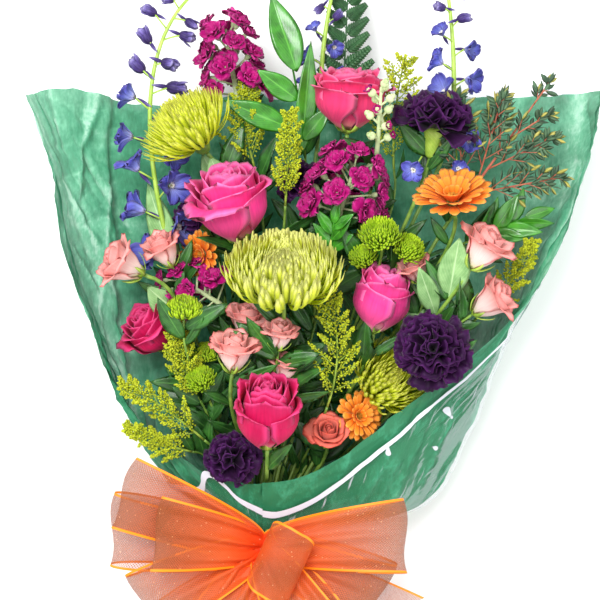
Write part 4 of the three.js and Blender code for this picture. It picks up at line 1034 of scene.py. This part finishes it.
def flower_petals(form, at, axis, roll, count, size, start, bend, wide, grid, finish, shade,
                  hollow=0.3, ripple=0.0):
    """`count` arc petals round each of many flowers, all flowers at once: the petal shape of the
    mums, turned about each flower's own axis."""
    n = len(at)
    each = (n, count, 1, 1)
    u, v = spans(*grid)
    around = 2 * pi * np.arange(count)[:, None, None] / count + rng.normal(0, 0.12, each)
    grown = np.reshape(size, (-1, 1, 1, 1)) * rng.uniform(0.88, 1.08, each)
    first = start + rng.normal(0, 0.12, each)
    lean = first + bend * u
    out = 0.08 * grown + grown * (cos(first) - cos(lean)) / bend + 0 * v
    up = grown * (sin(lean) - sin(first)) / bend + 0 * v
    round_off = np.sqrt(np.clip(1 - (np.clip(u - 0.55, 0, 1) / 0.46) ** 2, 0.02, 1))
    half = wide * grown * mix(0.3, 1, np.minimum(1, u / 0.6) ** 0.7) * round_off
    lift = hollow * half * v**2 + ripple * grown * u * sin(v * 5 + rng.uniform(0, 6, each))
    points = around_axis(out - lift * cos(lean), half * v, around, up + lift * sin(lean))
    placed = set_out(points.reshape(n, -1, 3), at, axis, roll).reshape(n * count, *grid, 3)
    shades = np.repeat(np.broadcast_to(shade, n), count) + rng.uniform(-0.1, 0.1, n * count)
    blades(form, placed, LEAF_THICK, shades, finish)


def buds(form, at, axis, radius, length, shade, sides=8, belly=0.4):
    """Closed buds: tubes along each axis whose radius is a skewed sine, thickest at `belly`."""
    s = np.linspace(0, 1, 8)
    path = at[:, None] + unit(axis)[:, None] * (s[None, :, None] * np.reshape(length, (-1, 1, 1)))
    tubes(form, path, np.reshape(radius, (-1, 1)) * (skewed(s, belly) ** 0.8 + 0.04), sides, shade, 1)


blue_petals = petal_finish(
    "blue_delphinium", {0: "d6d2f6", 0.3: "96a0ea", 0.65: "666ccc", 1: "4840a0"}, "7c76cc", 0.25, 0.45)
dark_buds = petal_finish(
    "delphinium_bud", {0: "33244f", 0.5: "40306e", 0.8: "6a5e9c", 1: "b0aace"}, "554888", 0.05, 0.8)
white_eye = petal_finish("flower_eye", {0: "c8c890", 1: "f4f0f4"}, "ffffff", 0.1, 0.1)
bright_stalk = leaf_finish("bright_stalk", "8aae34", "a6c650", "b4d068", 0.4, 0.2)
DELPHINIUMS = [  # node, base, tip, bow, size
    ("delphinium_1", (-121, 26, 62), (-106, 290, 88), (-30, 30, 14), 19),
    ("delphinium_2", (20, 200, 48), (38, 326, 60), (-4, 0, 4), 12),
    ("delphinium_3", (150, 190, 60), (140, 324, 64), (3, 0, 6), 14),
]
LOW_FLORETS = np.array([(160, 152, 95), (108, 124, 97), (150, 126, 92)], float)  # of the third stalk
for name, *line, size in DELPHINIUMS:
    form = Form()
    stalk(form, line, 2.6, 3, 24, 0.4)
    count = 17 if size > 15 else 9
    k = np.arange(count)
    at, heading = bowed(line, 0.03 + 0.95 * k / count)
    way = ways_out(heading, left_right(count) * rng.uniform(0.8, 1.2, count), rng.uniform(-0.2, 0.7, count))
    is_open = k < count * 0.5
    end = at + arrow(way, size * np.where(is_open, 0.95, 0.85 + 0.25 * sin(5 * k)))
    bent_stalks(form, at, end, size * 0.2, 0.9, 3, 8)
    facing = unit(way + np.stack([0.5 * sin(2 * k), -0.4 + 0.5 * cos(3 * k), 0.3 + 0.6 * sin(3 * k)], 1))
    blooms, front, outward = end[is_open], facing[is_open], way[is_open]
    grown = size * np.linspace(1.35, 0.95, len(blooms))
    if name == "delphinium_3":
        low_way = unit(LOW_FLORETS - line[0])
        bent_stalks(form, line[0] + 0 * LOW_FLORETS, LOW_FLORETS, 4, 0.9, 3, 8)
        blooms, outward = np.concatenate([blooms, LOW_FLORETS]), np.concatenate([outward, low_way])
        front = np.concatenate([front, unit(low_way * 0.4 + [0.2, 0.1, 0.9])])
        grown = np.concatenate([grown, size * np.full(len(LOW_FLORETS), 1.05)])
    n = len(blooms)
    flower_petals(form, blooms, front, rng.uniform(0, 6, n), 5, grown, 0.4, 0.8, 0.42, (8, 7), 0,
                  rng.uniform(0.3, 1.0, n), 0.4, 0.1)
    flower_petals(form, blooms + front * 1.5, front, 0.5, 5, size * 0.28, 0.35, 0.6, 0.45, (5, 3), 2, 0.85)
    buds(form, blooms, -front - outward * 0.3, size * 0.11, size, 0.7)
    n = count - is_open.sum()
    shut, way, heading = (part[~is_open] for part in (end, way, heading))
    droop = unit(way - heading * rng.uniform(-0.2, 0.9, (n, 1)) + rng.normal(0, 0.25, (n, 3)))
    large = size * mix(1.0, 0.62, np.arange(n) / n)
    buds(form, shut - arrow(droop, large * 0.3), droop, large * 0.34, large * 1.15,
         rng.uniform(0.2, 0.6, n), 12, 0.45)
    buds(form, shut, UP * 0.35 - droop, large * 0.11, large, 0.4)
    flower_petals(form, shut - arrow(droop, large * 0.1), droop, rng.uniform(0, 6, n), 5, large, 0.62, -0.75,
                  0.32, (7, 5), 1, 0.8)
    form.piece(name + "_spray", [blue_petals, dark_buds, white_eye, bright_stalk], name)

# ---- Stocks -------------------------------------------------------------------------------------
# Three magenta stock spikes of ruffled double flowers packed round a pale stem, and one that is
# still mostly in grey-green bud.


def spiral(heading, broad, deep):
    """Directions square to each heading, each turned by the golden angle from the one before. They
    are stretched by `broad` in the level and by `deep` square to it."""
    side = level_side(heading)
    turn = TURN * np.arange(len(heading))
    return arrow(side, cos(turn) * broad) + arrow(np.cross(side, heading), sin(turn) * deep)


magenta_stock = petal_finish(
    "magenta_stock", {0: "e8a8cc", 0.22: "be127c", 0.8: "ae0a6e", 1: "cc2c8c"}, "dc4aa0", 0.2, 0.2)
pale_stem = leaf_finish("pale_stem", "a9bb86", "c3d0a0", "d6dfb8", 0.6, 0.0)
STOCKS = [  # node, base, tip, bow, size, florets, and how far they spread
    ("stock_1", (-60, 190, 62), (-72, 262, 74), (0, 0, 4), 34, 19, (1.05, 0.75)),
    ("stock_2", (36, 76, 98), (52, 128, 114), (0, 0, 6), 34, 21, (1.5, 0.75)),
    ("stock_3", (-76, -4, 88), (-118, 22, 84), (0, 0, 4), 27, 15, (1.4, 0.9)),
]
PALE_STOCK = ("stock_4", (72, 134, 112), (74, 194, 156), (0, 0, 10), 14)  # the one in bud
RUFFLES = [  # the rings of a floret: petals, reach, first angle, bend
    (5, 1.0, 0.95, 0.6), (5, 0.84, 0.65, 0.6), (5, 0.66, 0.35, 0.6), (3, 0.46, 0.15, 0.5),
]
for name, *line, size, count, spread in STOCKS:
    form = Form()
    stalk(form, line, 2.6, 1)
    k = np.arange(count)
    at, heading = bowed(line, 0.08 + 0.86 * k / count)
    way = spiral(heading, *spread) + arrow(heading, 0.3 + 0.9 * k / count)
    grown = size * (0.48 - 0.1 * k / count) * rng.uniform(0.85, 1.1, count)
    end = at + arrow(way, size * (0.72 - 0.3 * k / count))
    way = unit(way + UP * 0.35)
    bent_stalks(form, at, end - arrow(way, grown * 0.35), 0, 1.0, 1)
    buds(form, end - arrow(way, grown * 0.65), way, grown * 0.2, grown * 0.75, 0.4, 8, 0.5)
    for petals, reach, start, bend in RUFFLES:
        flower_petals(form, end, way, rng.uniform(0, 6, count), petals, grown * reach, start, bend, 0.52,
                      (6, 5), 0, rng.uniform(0.45, 0.95, count), 0.12, 0.13)
    form.piece(name + "_spray", [magenta_stock, pale_stem], name)

name, *line, size = PALE_STOCK
form = Form()
stalk(form, line, 2.4, 1)
FLORETS = 12
at, heading = bowed(line, 0.2 + 0.066 * np.arange(FLORETS))
way = unit(spiral(heading, 1, 1) + heading * 0.9)
end = at + way * size * 0.7
bent_stalks(form, at, end, 0, 1.1, 1)
buds(form, end - way * 2, way, size * 0.28, size * 0.72, 0.8, 10)
flower_petals(form, end + way * size * 0.1, way, rng.uniform(0, 6, FLORETS), 5, size * 0.52,
              0.3, -0.35, 0.42, (6, 5), 1, 0.9)
flower_petals(form, (end + way * size * 0.25)[::3], way[::3], rng.uniform(0, 6, 4), 6, size * 0.5, 0.35, 0.3,
              0.4, (5, 5), 0, 0.6, ripple=0.1)
form.piece(name + "_spray", [magenta_stock, pale_stem], name)

# ---- Goldenrod ----------------------------------------------------------------------------------
# Yellow filler: each spray is a green stalk with arched side branches, and every branch is thick
# with tiny fluffy florets.


def tiny_buds(form, at, axis, radius, length, shade):
    """Florets no bigger than a grain: eight faces each, a ring of four corners between two points."""
    side = unit(np.cross(axis, [0.3, 0.2, 1.0]))
    above = np.cross(axis, side)
    waist = at + arrow(axis, 0.6 * length)
    ring = [waist + arrow(side * cos(a) + above * sin(a), radius) for a in (0, pi / 2, pi, 1.5 * pi)]
    corners = np.stack([at - axis * 0.4, *ring, at + arrow(axis, length)], 1)
    lower = [[0, 1 + (j + 1) % 4, 1 + j, -1] for j in range(4)]
    upper = [[5, 1 + j, 1 + (j + 1) % 4, -1] for j in range(4)]
    form.add(corners, np.array(lower + upper), np.array([[0, 0.5], *[[0.6, 0.5]] * 4, [1, 0.5]]), shade)


goldenrod_yellow = petal_finish("goldenrod_yellow", {0: "b8cc24", 1: "e8ee40"}, "eef258", 0.45, 0.05)
goldenrod_green = leaf_finish("goldenrod_green", "7f9c34", "a8c04c", "b8cc58", 0.5, 0.05)
GOLDENRODS = [  # node, base, tip, bow, size
    ("goldenrod_1", (-14, 90, 96), (-8, 178, 132), (0, 0, 6), 24),
    ("goldenrod_2", (-44, 128, 66), (-52, 206, 76), (-4, 0, 8), 34),
    ("goldenrod_3", (92, 128, 56), (102, 236, 74), (-4, 0, -4), 40),
    ("goldenrod_4", (26, -102, 92), (24, 12, 132), (10, 0, 8), 36),
    ("goldenrod_5", (-92, -134, 88), (-170, -78, 112), (0, 6, 12), 26),
    ("goldenrod_6", (-96, -96, 88), (-116, -20, 116), (-4, 0, 6), 26),
    ("goldenrod_7", (-104, -146, 82), (-166, -118, 112), (0, -2, 8), 20),
    ("goldenrod_8", (178, -10, 84), (220, 58, 100), (6, 0, 6), 22),
]
BRANCHES = 22
PER_BRANCH = 66
for name, *line, size in GOLDENRODS:
    form = Form()
    stalk(form, line, 1.2, 1, 12)
    share = 0.1 + 0.86 * np.arange(BRANCHES) / BRANCHES
    at, heading = bowed(line, share)
    angle = 0.8 * left_right(BRANCHES) * rng.uniform(0.5, 1.1, BRANCHES)
    way = ways_out(heading, angle, rng.uniform(-0.4, 0.8, BRANCHES))
    end = at + arrow(way, size * (1.32 - 0.98 * share) * rng.uniform(0.8, 1.1, BRANCHES))
    bent_stalks(form, at, end, 0.16 * size, 0.5, 1)
    at, end = np.concatenate([at, bowed(line, 0.8)[0]]), np.concatenate([end, [line[1]]])
    s = rng.uniform(0.1, 1.03, (BRANCHES + 1, PER_BRANCH, 1)) ** 0.8
    spine = mix(at[:, None], end[:, None], s) + UP * (arch(s) * 0.16 * size)
    off = unit(rng.normal(0, 1, spine.shape)) * (4.2 * (1.12 - s) * rng.uniform(0.25, 1, s.shape))
    spots = (spine + off).reshape(-1, 3)
    axes = unit((off + (end - at)[:, None] * 0.03).reshape(-1, 3))
    radius, length, shade = (rng.uniform(*span, len(spots)) for span in ((0.7, 1.25), (1.8, 3.0), (0.1, 1.0)))
    tiny_buds(form, spots, axes, radius, length, shade)
    form.piece(name + "_spray", [goldenrod_yellow, goldenrod_green], name)

# ---- Ruscus, fern and eucalyptus ----------------------------------------------------------------
# Cut greenery between the flowers: glossy ruscus with pointed leaves set left and right, a fern
# frond with toothed leaflets, and a red-stemmed eucalyptus branch with small dusky leaves.


def leaf_blades(form, root, way, length, width, droop, finish, shade, grid, fold, belly, tilt=0, wave=0):
    """Leaves that leave their roots along `way`. The half width is a skewed sine, widest at `belly`;
    the halves fold up from the midrib, and the leaf droops by the square of the way along."""
    way = unit(way)
    side = unit(np.cross(way, UP))
    above = np.cross(side, way)
    turn = np.reshape(tilt, (-1, 1))
    side, above = side * cos(turn) + above * sin(turn), above * cos(turn) - side * sin(turn)
    root, way, side, above = (part[:, None, None] for part in (root, way, side, above))
    u, v = (span[..., None] for span in spans(*grid))
    length, width = (np.reshape(size, (-1, 1, 1, 1)) for size in (length, width))
    half = width / 2 * np.maximum(0.03, skewed(u, belly) ** 0.9)
    lift = fold * np.abs(v) * half - droop * length * u * u + wave * half * sin(9 * u + 3 * v)
    blades(form, root + way * (length * u) + side * (v * half) + above * lift, LEAF_THICK, shade, finish)


ruscus_leaf = leaf_finish("ruscus_green", "256414", "3f9222", "5aa836", 0.3, 0.4)
RUSCUS = [  # node, base, tip, bow, size
    ("ruscus_1", (4, 152, 46), (-24, 284, 92), (4, 0, 10), 42),
    ("ruscus_2", (168, 58, 84), (232, 86, 96), (0, 0, 6), 40),
    ("ruscus_3", (28, 40, 94), (33, 84, 120), (0, 0, 4), 30),
]
LARGE_LEAVES = [  # the first branch's own leaves: root, tip, width
    ((-3, 218, 92), (-27, 292, 96), 30), ((-10, 165, 86), (-72, 190, 98), 24),
    ((1, 139, 84), (12, 245, 104), 21), ((3, 153, 88), (29, 184, 100), 18),
    ((-2, 191, 92), (-40, 218, 104), 22),
]
for name, *line, size in RUSCUS:
    form = Form()
    stalk(form, line, 1.3, 0)
    if name == "ruscus_1":
        at, end, width = (np.array(part, float) for part in zip(*LARGE_LEAVES))
        way = end - at
        n = len(way)
        leaf_blades(form, at, way, np.linalg.norm(way, axis=1), width, 0.06, 0, rng.uniform(0.4, 0.8, n),
                    (19, 9), 0.25, 0.42, rng.normal(0, 0.2, n), 0.06)
    else:
        n = 7
        k = np.arange(n)
        at, heading = bowed(line, 0.05 + 0.11 * k)
        length = size * rng.uniform(1.0, 1.2, n) * (1 - 0.04 * k)
        angle = np.where(k == n - 1, 0.1, left_right(n)) * rng.uniform(0.4, 0.8, n)
        way = ways_out(heading, angle, 0.15 + 0.15 * sin(3 * k))
        leaf_blades(form, at, way, length, length * 0.4, 0.14, 0, rng.uniform(0.4, 0.8, n),
                    (15, 9), 0.3, 0.42, rng.normal(0, 0.4, n), 0.07)
    form.piece(name + "_spray", [ruscus_leaf], name)

fern_leaf = leaf_finish("fern_green", "1f4a26", "356a3a", "4a7c44", 0.5, 0.15)
FERN = ("fern", (40, 150, 30), (48, 318, 44), (0, 0, 10), 42)
RIBS = 18
LEAFLETS = 9  # on each side of a rib
name, *line, size = FERN
form = Form()
stalk(form, line, 1.3, 0)
share = 0.14 + 0.84 * np.arange(RIBS) / RIBS
at, heading = bowed(line, share)
way = ways_out(heading, 0.85 * left_right(RIBS), 0.05)
length = size * np.sqrt(1.04 - share) * rng.uniform(0.9, 1.1, RIBS)
bent_stalks(form, at, at + arrow(way, length), 1.5, 0.4, 0, 6, 4)
s = (np.arange(LEAFLETS) + 1) / (LEAFLETS + 0.5)
spots = (at[:, None] + way[:, None] * (length[:, None, None] * s[None, :, None])).reshape(-1, 3) + UP
ribs = np.repeat(way, LEAFLETS, 0)
for hand in (-1, 1):
    way = ways_out(ribs, hand * 0.8, 0.08)
    leaf_blades(form, spots, way, np.tile(8.5 * (1.05 - s) + 3, RIBS), 4.8, 0.1, 0,
                rng.uniform(0.4, 0.75, len(spots)), (5, 3), 0.2, 0.35)
form.piece("fern_frond", [fern_leaf], name)

eucalyptus_leaf = leaf_finish("eucalyptus_green", "2c4a34", "4c6e4e", "6c8a60", 0.6, 0.05)
young_leaf = leaf_finish("eucalyptus_tip", "8a8f3c", "b4ac52", "c8b868", 0.5, 0.05)
red_twig = leaf_finish("eucalyptus_twig", "9a4636", "b9694c", "c8805c", 0.5, 0.1)
EUCALYPTUS = ("eucalyptus", (156, 92, 70), (226, 190, 84), (0, 0, 10), 16)
TWIGS = [  # where it leaves the branch, angle, length
    (0.04, -0.7, 104), (0.1, 0.75, 92), (0.2, -0.35, 88), (0.34, 0.5, 70), (0.5, -0.6, 54), (0.64, 0.4, 42),
    (0.98, 0.0, 26),
]
LEAVES = 6  # on each side twig
name, *line, size = EUCALYPTUS
form = Form()
stalk(form, line, 1.6, 1)
for share, angle, length in TWIGS:
    at, heading = bowed(line, share)
    way = ways_out(heading, angle, 0.05)
    bent_stalks(form, at, at + way * length, 5, 0.8, 1, 9, 6)
    count = int(length / 8.5)
    s = np.linspace(0.2, 0.94, count)[:, None]
    turned = 0.7 * left_right(count) * rng.uniform(0.6, 1.2, count)
    aside = ways_out(np.repeat(way, count, 0), turned, rng.uniform(-0.1, 0.5, count))
    starts = at + way * (length * s) + UP * (5 * arch(s))
    ends = starts + aside * (length * 0.34 * (1.12 - s))
    bent_stalks(form, starts, ends, 1, 0.45, 1)
    starts = np.repeat(np.concatenate([starts, at]), LEAVES, 0)
    ends = np.repeat(np.concatenate([ends, at + way * length]), LEAVES, 0)
    s = np.tile(np.linspace(0.24, 1.0, LEAVES), count + 1)
    turned = 0.9 * left_right(len(s)) * (1.1 - s * 0.7)
    out = ways_out(unit(ends - starts), turned, rng.uniform(-0.3, 0.5, len(s)))
    spots = mix(starts, ends, s[:, None]) + arrow(UP, arch(s))
    for tips, finish in ((s < 0.9, 0), (s >= 0.9, 2)):
        n = tips.sum()
        leaf_blades(form, spots[tips], out[tips], size * rng.uniform(0.55, 0.88, n), size * 0.25, 0.1, finish,
                    rng.uniform(0.3, 0.8, n), (6, 3), 0.15, 0.5, rng.normal(0, 0.6, n))
form.piece("eucalyptus_branch", [eucalyptus_leaf, red_twig, young_leaf], name)

# ---- Stems and their leaves ---------------------------------------------------------------------
# Every flower's own cut stem, gathered through the tie and fanned out above it, with the leaves
# that are still on them. Dark leaves fill the gaps between the flowers.

FORKS = {  # stems that branch off another stem
    "spray_rose_2": "spray_rose_1", "spray_rose_3": "spray_rose_4", "spray_rose_5": "spray_rose_4",
    "spray_rose_6": "spray_rose_4", "spray_rose_8": "spray_rose_7", "spray_rose_9": "spray_rose_7",
    "button_pom_2": "button_pom_1", "button_pom_3": "button_pom_1", "button_pom_6": "button_pom_5",
    "goldenrod_2": "goldenrod_1", "goldenrod_6": "goldenrod_5", "goldenrod_7": "goldenrod_5",
}
STEPS = 44  # points along each stem
FORK_STEP = 28  # the one at which it forks


def through(points):
    """A smooth curve through the points: cubic pieces between them that share the slope there."""
    points = np.array(points, float)
    t = np.concatenate([[0], np.cumsum(np.linalg.norm(np.diff(points, axis=0), axis=1) ** 0.5)])
    slope = np.gradient(points, t, axis=0)
    at = np.linspace(0, t[-1], STEPS)
    k = np.clip(np.searchsorted(t, at) - 1, 0, len(t) - 2)
    h = (t[k + 1] - t[k])[:, None]
    s = (at - t[k])[:, None] / h
    start = (2 * s**3 - 3 * s**2 + 1) * points[k] + (s**3 - 2 * s**2 + s) * h * slope[k]
    return start + (3 * s**2 - 2 * s**3) * points[k + 1] + (s**3 - s**2) * h * slope[k + 1]


feet = {}  # where each flower or spray sits on its stem, and the way it points there
balls, reach, head_names = [], [], []
for name, axis, size, half, *_ in ROSES + SPRAY_ROSES + CARNATIONS + GERBERAS + POMS + MUMS:
    up = unit(np.array(axis, float))
    feet[name] = (middle_of(name) - up * (half + 0.4), up)
    head_names.append(name)
    balls.append(middle_of(name))
    reach.append(max(size, half) * 0.72)
balls, reach, head_names = np.array(balls), np.array(reach), np.array(head_names)
for name, *line in DELPHINIUMS + STOCKS + GOLDENRODS + RUSCUS + [PALE_STOCK, FERN, EUCALYPTUS]:
    at, heading = bowed(line[:3], 0.0)
    feet[name] = (at[0] - heading[0] * 0.4, heading[0])


def pushed_out(path, own):
    """The path pushed clear of the other flowers, straight away from the middle of any it would pass
    through, then smoothed. Its ends stay."""
    for _ in range(6):
        away = path[:, None] - balls
        far = np.linalg.norm(away, axis=2)
        into = np.clip(reach - far, 0, None)
        into[:, head_names == own] = 0
        shift = (away / np.maximum(far, 1)[..., None] * into[..., None]).sum(1)
        shift[:, 2] -= np.abs(shift[:, 2]) * 0.2
        shift[:4], shift[-3:] = 0, 0
        path = path + shift
        path[3:-3] = (path[2:-4] + path[3:-3] * 2 + path[4:-2]) / 4
    path[:, 2] = np.maximum(path[:, 2], 8)
    return path


mains = [name for name in feet if name not in FORKS]
mains.sort(key=lambda name: (feet[name][0][0] - tie[0]) / (feet[name][0][1] - tie[1]))
k = np.arange(len(mains))
out = ring_radius * 0.86 * np.sqrt((k + 0.5) / len(mains))
slots = np.stack([out * cos(k * TURN), out * sin(k * TURN)], 1)
slots = slots[np.argsort(slots[:, 0])]
for first in range(0, len(mains), 6):
    group = slice(first, first + 6)
    slots[group] = slots[group][np.argsort(slots[group][:, 1])]
    mains[group] = sorted(mains[group], key=lambda name: feet[name][0][2])
routes = {}
for (x, z), name in zip(slots, mains):
    at, up = feet[name]
    end = tie + [1.2 * x, -118 + 9 * sin(5 * x + 3 * z), 1.2 * z]
    low, high = tie + [x, -10, z], tie + [1.02 * x, 15, 1.02 * z]
    near = at - up * 26
    near[2] = max(14, near[2])
    middle = mix(high, near, 0.55)
    middle[2] = max(12, min(middle[2], 46))
    routes[name] = pushed_out(through([end, low, high, middle, near, at]), name)
for name, parent in FORKS.items():
    at, up = feet[name]
    fork, near = routes[parent][FORK_STEP], at - up * 13
    routes[name] = pushed_out(through([fork, mix(fork, near, 0.5), near, at]), name)
paths = np.array(list(routes.values()))
THIN = ("goldenrod", "ruscus", "fern", "button")
radius = [[1.25 if name in FORKS or name.startswith(THIN) else 1.9] for name in routes]
form = Form()
tubes(form, paths, radius, 9, rng.uniform(0.45, 0.8, len(paths)))

PER_STEM = 7
index = (rng.uniform(0.5, 0.97, (len(paths), PER_STEM)) * (STEPS - 1)).astype(int)[..., None]
roots = np.take_along_axis(paths, index, 1).reshape(-1, 3)
ahead = unit(np.take_along_axis(np.gradient(paths, axis=1), index, 1)).reshape(-1, 3)
n = len(roots)
way = ways_out(ahead, rng.uniform(0.35, 1.1, n) * left_right(n), rng.uniform(-0.1, 0.4, n))
length = rng.uniform(30, 58, n)
tips = roots + arrow(way, length)
aside = tips[:, 0] - tie[0]
inside = half_width(tips[:, 1] - tie[1], aside > 0) * 0.86 > np.abs(aside)
inside &= (tips[:, 1] < 280) & (tips[:, 2] > 12) & (tips[:, 1] > -142)
for spot in (tips, mix(roots, tips, 0.6)):
    inside &= (np.linalg.norm(spot[:, None] - balls, axis=2) > reach).all(1)
roots, way, length = (part[inside] for part in (roots, way, length))
n = len(roots)
leaf_blades(form, roots, way, length, length * rng.uniform(0.26, 0.4, n), 0.14, 1,
            rng.uniform(0.25, 0.7, n), (9, 5), 0.3, 0.45, rng.normal(0, 0.5, n), 0.08)
BROAD = [  # the stem it grows on, root, tip, width
    ("spray_rose_1", (-143, -23, 84), (-145, 12, 98), 30),
    ("spray_rose_7", (124, 6, 120), (146, 55, 152), 30),
    ("spray_rose_8", (130, -14, 96), (160, 10, 120), 20),
    ("spray_rose_7", (114, -6, 104), (110, 28, 150), 20),
    ("spider_mum_1", (-72, 104, 76), (-94, 140, 84), 22),
    ("spray_rose_2", (-124, 20, 80), (-150, 116, 60), 26),
    ("spider_mum_1", (-88, 136, 84), (-70, 102, 96), 20),
    ("spray_rose_7", (100, -20, 90), (96, 26, 104), 22),
]
for stem, near, tip, width in BROAD:
    root = min(routes[stem], key=lambda point: np.linalg.norm(point - near))
    way = tip - root
    leaf_blades(form, root[None], way[None], np.linalg.norm(way), width, 0.06, 2, 0.7,
                (15, 9), 0.25, 0.5, 0, 0.05)
dark_leaf = leaf_finish("filler_leaf", "1d4819", "377428", "55903e", 0.4, 0.2)
broad_leaf = leaf_finish("broad_leaf", "6d9a5a", "8fb878", "b0d098", 0.5, 0.1)
form.piece("stems_and_leaves", [green_stem, dark_leaf, broad_leaf], "stem_bundle")
